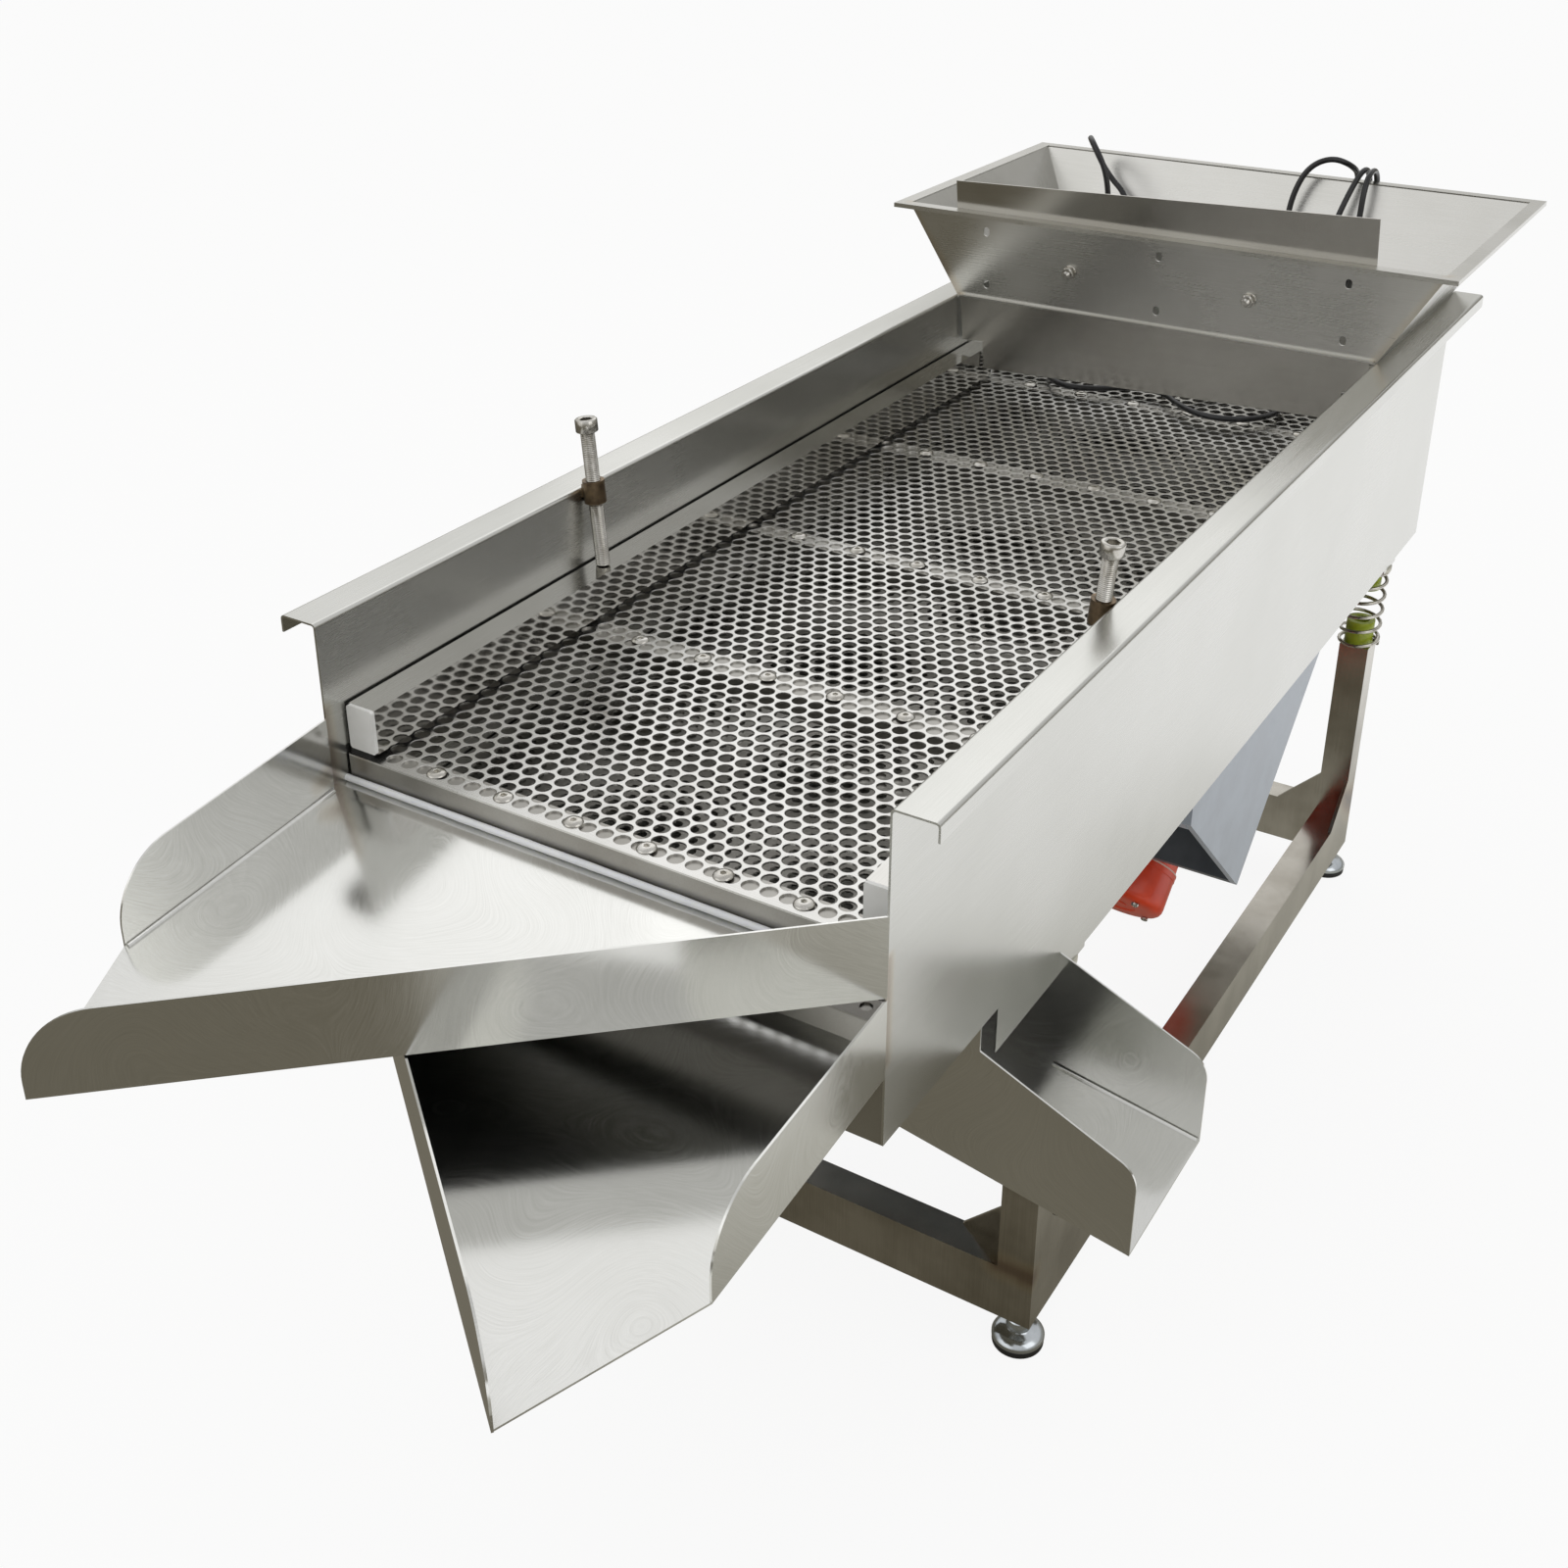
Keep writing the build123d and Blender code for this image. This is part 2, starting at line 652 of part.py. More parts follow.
def make_bracket():
    inside = bracket_half_width - bracket_sheet
    keep("motor_bracket_sides", *bracket_sides())
    plate = seat_block(-inside, inside, 0, mount_length, -mount_sheet, 0)
    bolt_holes = []
    for side in SIDES.values():
        for x, u in motor_bolt_places(side):
            bolt_holes.append(seat(x, u, 0) * Rot(90, 0, 0) * Cylinder(motor_bolt / 2 + 0.5, 6 * mount_sheet))
    keep("motor_mount_plate", plate - bolt_holes)
    y0 = bracket_front_y
    beam = block(-inside, inside, y0, y0 + bracket_sheet, pan_bottom - beam_leg, pan_bottom)
    beam += block(-inside, inside, y0, y0 + beam_leg, pan_bottom - bracket_sheet, pan_bottom)
    beam += block(-inside, inside, y0, y0 + beam_lip, pan_bottom - beam_leg, pan_bottom - beam_leg + bracket_sheet)
    clip = prism_x(profile((bracket_front_y - 1, pan_bottom - bracket_front_depth),
                           (bracket_vertex_y, bracket_vertex_z),
                           (bracket_front_y - 1, bracket_vertex_z)), -inside, inside)
    keep("bracket_front_beam", beam - clip)


def motor_bolt_places(side):
    mid_u = motor_front + motor_length / 2
    dx, du = motor_bolt_spacing
    return [(side * motor_x + sx * dx / 2, mid_u + su * du / 2) for sx in (-1, 1) for su in (-1, 1)]


def motor_housing(side):
    """Body with its foot, cooling ribs and terminal box, bored for the shaft."""
    x = side * motor_x
    u0, u1 = motor_front, motor_front + motor_length
    mid = (u0 + u1) / 2
    body = seat_cylinder(x, u0, u1, motor_axis_height, motor_radius - 4)
    for end in (u0, u1 - 12):
        body += seat_cylinder(x, end, end + 12, motor_axis_height, motor_radius)
    body += seat_cylinder(x, u0 - spigot, u1 + spigot, motor_axis_height,
                          cover_radius - cover_wall - spigot_gap)
    ribs = []
    for turn in range(8):
        rib = Rot(0, 0, 22.5 + 45 * turn) * Pos(motor_radius - 4, 0, 0) * Box(8, 4, motor_length - 20)
        ribs.append(seat(x, mid, motor_axis_height) * rib)
    body += ribs
    bx, bu, bw = motor_base
    body += seat_block(x - bx / 2, x + bx / 2, mid - bu / 2, mid + bu / 2, 0, bw)
    body += seat_block(x - bx * 0.3, x + bx * 0.3, mid - bu / 2, mid + bu / 2, bw - 1, motor_axis_height * 0.7)
    box_x = sorted((x - side * (motor_radius - 12), x - side * (motor_radius + terminal_reach)))
    half_length, half_height = terminal_length / 2, terminal_height / 2
    body += seat_block(*box_x, mid - half_length, mid + half_length,
                       motor_axis_height - half_height, motor_axis_height + half_height)
    body -= seat_cylinder(x, u0 - 2 * spigot, u1 + 2 * spigot, motor_axis_height,
                          shaft_diameter / 2 + bearing_clearance)
    for px, pu in motor_bolt_places(side):
        body -= seat(px, pu, bw / 2) * Rot(90, 0, 0) * Cylinder(motor_bolt / 2 + 0.5, 4 * bw)
    return body


def motor_covers(side):
    """Two closed end caps over the eccentric weights."""
    x = side * motor_x
    u0, u1 = motor_front, motor_front + motor_length
    w = motor_axis_height
    caps = []
    for start, way in ((u0, -1), (u1, 1)):
        outer = seat_cylinder(x, *sorted((start, start + way * cover_length)), w, cover_radius)
        rim = seat_plane_edges(outer, start + way * cover_length, x)
        outer = chamfer(rim, cover_chamfer)
        depth = way * (cover_length - cover_chamfer)
        inner = seat_cylinder(x, *sorted((start, start + depth)), w, cover_radius - cover_wall)
        caps.append(outer - inner)
    return caps


def seat_plane_edges(shape, u, x):
    """Circular edges that lie at this u."""
    plane = seat(x, u, motor_axis_height)
    near = [e for e in shape.edges().filter_by(GeomType.CIRCLE)
            if abs(plane.to_local_coords(e.arc_center).Z) < 0.01]
    return near


def motor_rotor(side):
    """Shaft with an eccentric weight at each end."""
    x = side * motor_x
    u0, u1 = motor_front, motor_front + motor_length
    w = motor_axis_height
    reach = cover_length - cover_chamfer - 4
    shaft = seat_cylinder(x, u0 - reach, u1 + reach, w, shaft_diameter / 2)
    for start in (u0 - 10 - weight_width, u1 + 10):
        disc = seat_cylinder(x, start, start + weight_width, w, weight_radius)
        half = seat_block(x - weight_radius, x + weight_radius, start, start + weight_width,
                          w - 6, w + weight_radius)
        shaft += disc & half
    return shaft


def motor_bolts():
    shapes = []
    low = (Align.CENTER, Align.CENTER, Align.MIN)
    grip = motor_base[2] + mount_sheet
    for side in SIDES.values():
        for x, u in motor_bolt_places(side):
            place = seat(x, u, motor_base[2]) * Rot(-90, 0, 0)
            shank = Pos(0, 0, -grip - 14) * Cylinder(motor_bolt / 2, grip + 14, align=low)
            head = extrude(RegularPolygon(10, 6), 8)
            nut = Pos(0, 0, -grip - 10) * extrude(RegularPolygon(10, 6), 10)
            shapes.append(place * (shank + head + nut))
    return shapes


def gland_plane(side):
    """Where the cable gland sits on the terminal box; its z axis is the cable's exit."""
    mid = motor_front + motor_length / 2
    return seat(side * (motor_x - motor_radius - 10), mid + terminal_length / 2, motor_axis_height)


def cable_gland(side):
    low = (Align.CENTER, Align.CENTER, Align.MIN)
    nut = extrude(RegularPolygon(gland_diameter / 2 + 2, 6), 8)
    cone = Pos(0, 0, 8) * Cone(gland_diameter / 2, cable_diameter / 2 + 1.5, gland_length - 8, align=low)
    return gland_plane(side) * (nut + cone)


def make_motors():
    for name, side in SIDES.items():
        keep(f"motor_{name}", motor_housing(side))
        keep(f"motor_covers_{name}", *motor_covers(side))
        keep(f"motor_rotor_{name}", motor_rotor(side))
    keep("motor_bolts", *motor_bolts())
    keep("cable_glands", *[cable_gland(side) for side in SIDES.values()])


# Springs, their seats and the base frame

def post_places():
    half = tube / 2
    rows = {"front": base_front + half, "rear": base_rear - half}
    return {f"{row}_{name}": (side * (base_half_width - half), y)
            for row, y in rows.items() for name, side in SIDES.items()}


def spring_span():
    top = pan_bottom - seat_bracket_sheet - seat_disc_height
    return post_top + spring_clearance, top - spring_clearance


def coil_spring():
    """Coil of straight steps with a square wire section, in its own place at x = y = 0."""
    steps_per_turn = 10
    bottom, top = spring_span()
    radius = (spring_diameter - spring_wire) / 2
    start, end = bottom + spring_wire / 2, top - spring_wire / 2
    count = int(spring_turns * steps_per_turn)
    points = []
    for i in range(count + 1):
        angle = 2 * pi * i / steps_per_turn
        # The end turns lie flat against their seats.
        share = min(max((i - steps_per_turn * 0.75) / (count - steps_per_turn * 1.5), 0), 1)
        rise = start + (end - start) * share
        points.append((radius * cos(angle), radius * sin(angle), rise))
    path = Polyline(*points)
    section = Plane(origin=path @ 0, z_dir=path % 0) * Rectangle(spring_wire * 0.9, spring_wire * 0.9)
    return sweep(section, path=path, transition=Transition.RIGHT)


def make_springs():
    low = (Align.CENTER, Align.CENTER, Align.MIN)
    lower_cups, upper_cups, brackets = [], [], []
    spring = coil_spring()
    half = seat_bracket / 2
    for name, (x, y) in post_places().items():
        lower = Pos(x, y, post_top) * Cylinder(cup_diameter / 2, lower_cup_height, align=low)
        lower_cups.append(lower - Pos(x, y, post_top + lower_cup_height / 2)
                          * Cylinder(cup_diameter / 2 - 8, lower_cup_height, align=low))
        seat_top = pan_bottom - seat_bracket_sheet
        disc = Pos(x, y, seat_top - seat_disc_height) * Cylinder(seat_disc / 2, seat_disc_height, align=low)
        cup = Pos(x, y, seat_top - seat_disc_height - upper_cup_height) * Cylinder(
            cup_diameter / 2, upper_cup_height + seat_disc_height, align=low)
        upper_cups.append(disc + cup)
        brackets.append(block(x - half, x + half, max(y - half, cross_rear + cross_sheet + 0.3)
                              if name.startswith("front") else y - half, y + half,
                              seat_top, pan_bottom))
        keep(f"spring_{name}", Pos(x, y, 0) * spring)
    keep("lower_spring_cups", *lower_cups)
    keep("upper_spring_cups", *upper_cups)
    keep("spring_brackets", *brackets)


def square_tube(x0, x1, y0, y1, z0, z1, axis):
    body = block(x0, x1, y0, y1, z0, z1)
    inset = [tube_wall, tube_wall, tube_wall]
    inset["xyz".index(axis)] = -1
    dx, dy, dz = inset
    return body - block(x0 + dx, x1 - dx, y0 + dy, y1 - dy, z0 + dz, z1 - dz)


def post(x, y):
    half = tube / 2
    bottom = rail_top - rail_height
    body = square_tube(x - half, x + half, y - half, y + half, bottom, post_top, "z")
    body += block(x - half, x + half, y - half, y + half, post_top - post_cap, post_top)
    body += block(x - half, x + half, y - half, y + half, bottom, bottom + foot_plate)
    return body - Pos(x, y, bottom) * Cylinder(foot_thread / 2 + thread_clearance, 4 * foot_plate)


def make_rails():
    inner_x = base_half_width - tube
    low, high = rail_top - rail_height, rail_top
    for name, y0 in (("front", base_front), ("rear", base_rear - tube)):
        keep(f"rail_{name}", square_tube(-inner_x, inner_x, y0, y0 + tube, low, high, "x"))
    for name, side in SIDES.items():
        outer = side * base_half_width
        x = sorted((outer, outer - side * tube))
        keep(f"rail_{name}", square_tube(*x, base_front + tube, base_rear - tube, low, high, "y"))


def corner_gussets():
    shapes = []
    leg = gusset_leg
    inner_x = base_half_width - tube
    front, rear = base_front + tube, base_rear - tube
    for side in SIDES.values():
        outer = side * base_half_width
        x = sorted((outer, outer - side * gusset_sheet))
        shapes.append(prism_x(profile((front, rail_top), (front + leg, rail_top), (front, rail_top + leg)), *x))
        shapes.append(prism_x(profile((rear, rail_top), (rear - leg, rail_top), (rear, rail_top + leg)), *x))
        for y0 in (base_front + tube - gusset_sheet, base_rear - tube):
            tri = profile((side * inner_x, rail_top), (side * (inner_x - leg), rail_top),
                          (side * inner_x, rail_top + leg))
            shapes.append(prism_y(tri, y0, y0 + gusset_sheet))
    return shapes


def foot(x, y):
    """Levelling foot: threaded stem, lock nut, flared steel disc and rubber pad."""
    top = rail_top - rail_height
    disc_top = top - foot_nut_height - foot_neck
    disc_bottom = disc_top - foot_disc_height
    low = (Align.CENTER, Align.CENTER, Align.MIN)
    stem_length = foot_neck + foot_nut_height + foot_plate + foot_travel + foot_thread_end
    stem = Pos(x, y, disc_top) * Cylinder(foot_thread / 2, stem_length, align=low)
    nut = Pos(x, y, top - foot_nut_height) * extrude(RegularPolygon(foot_nut / 2 * 1.1, 6), foot_nut_height)
    rim = foot_disc / 2
    half = make_face(Polyline((0, disc_bottom), (rim, disc_bottom), (rim, disc_bottom + 5),
                              (rim * 0.86, disc_top - 1), (rim * 0.5, disc_top + 3),
                              (foot_thread * 0.72, disc_top + foot_neck), (0, disc_top + foot_neck),
                              close=True))
    disc = Pos(x, y, 0) * revolve(Plane.XZ * half, Axis.Z)
    pad = Pos(x, y, floor_z) * Cylinder(rim - 0.5, foot_pad_height, align=low)
    return disc + stem + nut, pad


def make_base():
    for name, (x, y) in post_places().items():
        keep(f"post_{name}", post(x, y))
        keep(f"foot_{name}", *foot(x, y))
    make_rails()
    keep("corner_gussets", *corner_gussets())


# Motor cables, as straight runs joined by arcs

def cable_start(side):
    exit_plane = gland_plane(side)
    first = exit_plane.origin + exit_plane.z_dir * (gland_length + cable_exit)
    return first


def cable_points(name):
    side = SIDES[name]
    start = cable_start(side)
    way = gland_plane(side).z_dir
    head = [start, start + way * 45]
    if name == "left":
        # Over the hopper's rim, down inside, up in an arch and back over the rim.
        rest = [(-50, 1250, -556), (-30, 1352, -534), (14, 1455, -504), (64, 1560, -472),
                (106, 1655, -436), (128, 1712, -372), (134, 1722, -270), (135, 1722, -160),
                (135, 1732, -50), (135, 1756, 50), (135, 1768, 126), (134, 1726, 150),
                (124, 1690, 112), (113, 1668, 62), (109, 1654, -12), (47, 1654, -12),
                (42, 1676, 70), (46, 1686, 112), (60, 1698, 146), (88, 1710, 160),
                (114, 1728, 149), (118, 1768, 126), (115, 1760, 50), (112, 1750, -40),
                (110, 1746, -120)]
    else:
        # Over the rim and down to the deck, up in a loop at the left, then coiled on the deck.
        rest = [(50, 1250, -558), (70, 1352, -540), (100, 1455, -512), (130, 1560, -478),
                (148, 1655, -440), (153, 1712, -372), (153, 1722, -270), (152, 1722, -160),
                (150, 1732, -50), (148, 1756, 50), (147, 1760, 142), (147, 1693, 145),
                (149, 1674, 60), (146, 1645, -30), (130, 1630, -90), (88, 1612, -118),
                (24, 1604, -122), (-50, 1606, -122), (-120, 1622, -119), (-166, 1640, -84),
                (-186, 1648, -16), (-206, 1672, 70), (-252, 1682, 104), (-280, 1675, 156),
                (-250, 1607, 170), (-216, 1603, 118), (-208, 1594, 40), (-206, 1562, -60),
                (-204, 1500, -108), (-204, 1424, -120), (-190, 1356, -120), (-154, 1314, -120),
                (-102, 1320, -120), (-62, 1362, -121), (-12, 1366, -121), (26, 1322, -120),
                (72, 1294, -120), (126, 1306, -120), (156, 1354, -120), (150, 1412, -121),
                (104, 1444, -122), (52, 1430, -121), (26, 1386, -120)]
    return head + [Vector(*p) for p in rest]


def cable_radii(points):
    radii = []
    for a, b, c in zip(points, points[1:], points[2:]):
        turn = (b - a).get_angle(c - b)
        shorter = min((b - a).length, (c - b).length)
        radii.append(0.45 * shorter / tan(radians(turn / 2)))
    return radii


def make_cables():
    for name in SIDES:
        points = cable_points(name)
        radii = cable_radii(points)
        path = FilletPolyline(*points, radius=radii)
        section = Plane(origin=path @ 0, z_dir=path % 0) * Circle(cable_diameter / 2)
        tube_body = sweep(section, path=path)
        keep(f"cable_{name}", tube_body)
        runs = [(b - a).length for a, b in zip(points, points[1:])]
        turns = [(b - a).get_angle(c - b) for a, b, c in zip(points, points[1:], points[2:])]
        ideal = pi * (cable_diameter / 2) ** 2 * path.length
        print(name, "cable length", round(path.length), "volume share", round(tube_body.volume / ideal, 4),
              "longest run", round(max(runs)), "largest turn", round(max(turns)),
              "radii", [round(r) for r in radii])


make_trough()
make_decks()
make_clamps()
make_chutes()
make_hopper()
make_bracket()
make_motors()
make_springs()
make_base()
make_cables()

cords = ("cable_left", "cable_right")
boxes = [shape.bounding_box() for name, shape in parts.items() if name not in cords]
low = Vector(min(b.min.X for b in boxes), min(b.min.Y for b in boxes), min(b.min.Z for b in boxes))
high = Vector(max(b.max.X for b in boxes), max(b.max.Y for b in boxes), max(b.max.Z for b in boxes))
shift = Vector(-(low.X + high.X) / 2, -(low.Y + high.Y) / 2, -low.Z)

os.makedirs("parts", exist_ok=True)
for name, shape in parts.items():
    export_step(Pos(shift) * shape, f"parts/{name}.step")
print(len(parts), "nodes, overall size", high - low)
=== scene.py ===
"""Dressed model of a vibrating sieve with two screen decks.

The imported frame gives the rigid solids. This file adds the pieces that need finer forms,
such as the punched plates, threads, coils, castings and cables, and gives every surface
the finish of the real machine. Points are written in millimetres from the middle of the
trough's front edge, at the top of its flanges, and turned to metres by `at`.
"""

from __future__ import annotations

import logging
import math
from dataclasses import dataclass, field
from enum import Enum
from typing import Any, Sequence

import bpy
from mathutils import Matrix, Vector, noise


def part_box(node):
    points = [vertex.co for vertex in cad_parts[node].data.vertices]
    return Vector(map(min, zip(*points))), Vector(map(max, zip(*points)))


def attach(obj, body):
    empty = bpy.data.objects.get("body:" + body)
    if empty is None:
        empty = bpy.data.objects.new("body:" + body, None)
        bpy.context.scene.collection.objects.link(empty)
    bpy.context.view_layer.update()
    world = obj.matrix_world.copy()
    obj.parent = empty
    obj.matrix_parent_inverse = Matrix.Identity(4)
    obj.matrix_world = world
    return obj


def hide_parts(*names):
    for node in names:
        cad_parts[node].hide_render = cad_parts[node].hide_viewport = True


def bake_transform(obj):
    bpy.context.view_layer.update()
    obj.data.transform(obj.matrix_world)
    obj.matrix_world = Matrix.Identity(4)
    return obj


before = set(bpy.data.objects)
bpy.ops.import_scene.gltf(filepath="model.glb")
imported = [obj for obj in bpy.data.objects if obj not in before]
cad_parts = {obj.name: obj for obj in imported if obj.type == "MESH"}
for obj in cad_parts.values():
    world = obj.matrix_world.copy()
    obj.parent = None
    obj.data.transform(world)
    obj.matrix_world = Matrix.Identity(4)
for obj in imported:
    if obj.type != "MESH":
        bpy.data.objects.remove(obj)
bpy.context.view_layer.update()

log = logging.getLogger("sieve")
MM = 0.001
DATUM = Vector((-34.0, -666.0, 919.0))
# Levels between which almost all of a noise texture lies.
NOISE_LOW, NOISE_HIGH = 0.3, 0.7
UPPER_CHUTE_SLOPE_DEG = 5.95
CROSS_CHUTE_SLOPE_DEG = 9.7
Point = tuple[float, float, float]
Colour = tuple[float, float, float, float]


def at(x: float, y: float, z: float) -> Vector:
    """Turn a point in millimetres from the trough's datum to metres in the frame.

    Args:
        x: distance to the right of the centre line.
        y: distance behind the trough's front edge.
        z: height above the trough's flanges.

    Returns:
        The same point in the frame, in metres.
    """
    return (DATUM + Vector((x, y, z))) * MM


def box_mm(node: str) -> tuple[Vector, Vector]:
    """Return the low and high corners of a frame node's box, in millimetres from the datum."""
    low, high = (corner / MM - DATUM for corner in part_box(node))
    return low, high


def linear(code: str) -> Colour:
    """Turn an sRGB hex colour to the linear colour that a shader takes.

    Args:
        code: colour as "#RRGGBB".

    Returns:
        Linear red, green, blue and an alpha of 1.
    """
    levels = [int(code[i:i + 2], 16) / 255 for i in (1, 3, 5)]
    red, green, blue = (v / 12.92 if v <= 0.04045 else ((v + 0.055) / 1.055) ** 2.4 for v in levels)
    return red, green, blue, 1.0


def add_node(tree: bpy.types.NodeTree, kind: str, inputs: dict[Any, Any] | None = None,
             links: dict[Any, bpy.types.NodeSocket] | None = None, **settings: Any) -> bpy.types.Node:
    """Add one node with its settings, its values and the sockets that feed it.

    Args:
        tree: node tree that the node joins.
        kind: identifier of the kind of node.
        inputs: values for its input sockets.
        links: sockets that are linked to its inputs.
        **settings: properties of the node itself.

    Returns:
        The new node.
    """
    node = tree.nodes.new(kind)
    for key, value in settings.items():
        setattr(node, key, value)
    for key, value in (inputs or {}).items():
        node.inputs[key].default_value = value
    for key, socket in (links or {}).items():
        tree.links.new(socket, node.inputs[key])
    return node


def ramp(tree: bpy.types.NodeTree, source: bpy.types.NodeSocket,
         stops: Sequence[tuple[float, Colour]]) -> bpy.types.NodeSocket:
    """Add a colour ramp with the given stops and return its colour.

    Args:
        tree: node tree that the ramp joins.
        source: socket that drives the ramp.
        stops: place and linear colour of each stop, two or more.

    Returns:
        The ramp's colour socket.
    """
    node = add_node(tree, "ShaderNodeValToRGB", links={"Fac": source})
    elements = node.color_ramp.elements
    while len(elements) < len(stops):
        elements.new(0.5)
    for element, (place, colour) in zip(elements, stops):
        element.position = place
        element.color = colour
    return node.outputs["Color"]


def grey(level: float) -> Colour:
    """Return a grey of this linear level."""
    return level, level, level, 1.0


class Grain(Enum):
    """Way that the brush or roll lines run on a metal sheet, as scales across and along them."""

    LENGTHWISE = (1.0, 0.012, 1.0)
    CROSSWISE = (0.012, 1.0, 1.0)
    UPRIGHT = (1.0, 1.0, 0.012)
    SWIRLED = (1.0, 0.03, 0.03)
    NONE = (1.0, 1.0, 1.0)


@dataclass(frozen=True)
class HeatMark:
    """Brown heat tint that a weld leaves on stainless sheet, about a point or a line."""

    start: Point
    end: Point
    reach_mm: float
    strength: float = 0.8


@dataclass(frozen=True)
class Metal:
    """Bare metal: sheet, tube or plated steel.

    The line width is the spacing of the brush lines. It is drawn a few times coarser than
    the 0.1 mm grit lines of the real sheet, so that it shows in the render.
    """

    name: str
    colour: str
    shade: str
    roughness: float
    spread: float = 0.06
    grain: Grain = Grain.NONE
    line_mm: float = 0.8
    cloud_mm: float = 160.0
    bump_mm: float = 0.005
    streak: float = 0.3
    anisotropy: float = 0.0
    marks: tuple[HeatMark, ...] = ()
    swirl_turn: float = 0.6
    swirl_mm: float = 260.0
    swirl_share: float = 0.07

    def build(self) -> bpy.types.Material:
        """Make the metal's material, or return it if it is already made."""
        material, tree, shader = blank_material(self.name)
        if shader is None:
            return material
        coords = add_node(tree, "ShaderNodeTexCoord").outputs["Object"]
        swirled = self.grain is Grain.SWIRLED
        stretched = add_node(tree, "ShaderNodeMapping",
                             {"Rotation": (0.0, 0.0, self.swirl_turn if swirled else 0.0),
                              "Scale": [1000 / self.line_mm * s for s in self.grain.value]},
                             {"Vector": self.swirl(tree, coords) if swirled else coords}).outputs["Vector"]
        lines = add_node(tree, "ShaderNodeTexNoise", {"Scale": 1.0, "Detail": 3.0, "Roughness": 0.65},
                         {"Vector": stretched}).outputs["Fac"]
        cloud = add_node(tree, "ShaderNodeTexNoise", {"Scale": 1000 / self.cloud_mm, "Detail": 4.0},
                         {"Vector": coords}).outputs["Fac"]
        both = add_node(tree, "ShaderNodeMix", {"Factor": self.streak}, {"A": cloud, "B": lines}).outputs[0]
        rough = add_node(tree, "ShaderNodeMapRange",
                         {"From Min": NOISE_LOW, "From Max": NOISE_HIGH,
                          "To Min": self.roughness - self.spread, "To Max": self.roughness + self.spread},
                         {"Value": both}).outputs["Result"]
        tone = ramp(tree, both, [(0.34, linear(self.shade)), (0.62, linear(self.colour))])
        for mark in self.marks:
            tone = self.tint(tree, coords, cloud, tone, mark)
        feed_shader(tree, shader, tone, rough, lines, self.bump_mm)
        shader.inputs["Metallic"].default_value = 1.0
        shader.inputs["Anisotropic"].default_value = self.anisotropy
        return material

    def swirl(self, tree: bpy.types.NodeTree, coords: bpy.types.NodeSocket) -> bpy.types.NodeSocket:
        """Bend straight brush lines into the arcs of a hand pad.

        Args:
            tree: node tree of the material.
            coords: object coordinates.

        Returns:
            The coordinates, moved so that the lines curve with a radius of about 250 mm.
        """
        bend = add_node(tree, "ShaderNodeTexNoise", {"Scale": 1000 / self.swirl_mm, "Detail": 1.0},
                        {"Vector": coords}).outputs["Color"]
        moved = add_node(tree, "ShaderNodeMix", {"Factor": self.swirl_share}, data_type="VECTOR")
        vectors = [socket for socket in moved.inputs if socket.type == "VECTOR"]
        tree.links.new(coords, vectors[0])
        tree.links.new(bend, vectors[1])
        return [socket for socket in moved.outputs if socket.type == "VECTOR"][0]

    def tint(self, tree: bpy.types.NodeTree, coords: bpy.types.NodeSocket, cloud: bpy.types.NodeSocket,
             tone: bpy.types.NodeSocket, mark: HeatMark) -> bpy.types.NodeSocket:
        """Lay a heat mark over the metal's colour.

        Args:
            tree: node tree of the material.
            coords: object coordinates.
            cloud: broad noise that breaks the mark's edge.
            tone: colour under the mark.
            mark: the mark's line, reach and strength.

        Returns:
            The colour with the mark on it.
        """
        start, end = at(*mark.start), at(*mark.end)
        along = end - start
        length = along.length
        from_start = add_node(tree, "ShaderNodeVectorMath", {1: start}, {0: coords},
                              operation="SUBTRACT").outputs["Vector"]
        share = add_node(tree, "ShaderNodeVectorMath", {1: along / length}, {0: from_start},
                         operation="DOT_PRODUCT").outputs["Value"]
        held = add_node(tree, "ShaderNodeClamp", {"Min": 0.0, "Max": length}, {"Value": share}).outputs[0]
        foot = add_node(tree, "ShaderNodeVectorMath", {0: along / length}, {"Scale": held},
                        operation="SCALE").outputs["Vector"]
        away = add_node(tree, "ShaderNodeVectorMath", links={0: from_start, 1: foot},
                        operation="DISTANCE").outputs["Value"]
        reach = mark.reach_mm * MM
        ragged = add_node(tree, "ShaderNodeMath", {1: reach * 1.2}, {0: cloud},
                          operation="MULTIPLY").outputs[0]
        total = add_node(tree, "ShaderNodeMath", links={0: away, 1: ragged}, operation="ADD").outputs[0]
        mask = add_node(tree, "ShaderNodeMapRange",
                        {"From Min": reach * 0.5, "From Max": reach * 1.6, "To Min": mark.strength,
                         "To Max": 0.0}, {"Value": total}, interpolation_type="SMOOTHSTEP").outputs["Result"]
        # Straw at the rim of the mark, brown and then blue near the weld.
        colour = ramp(tree, mask, [(0.15, linear("#C9B48C")), (0.55, linear("#7A5A3E")),
                                   (0.9, linear("#4A4650"))])
        mixed = add_node(tree, "ShaderNodeMix", links={"Factor": mask}, data_type="RGBA")
        inputs = [socket for socket in mixed.inputs if socket.type == "RGBA"]
        tree.links.new(tone, inputs[0])
        tree.links.new(colour, inputs[1])
        return [socket for socket in mixed.outputs if socket.type == "RGBA"][0]


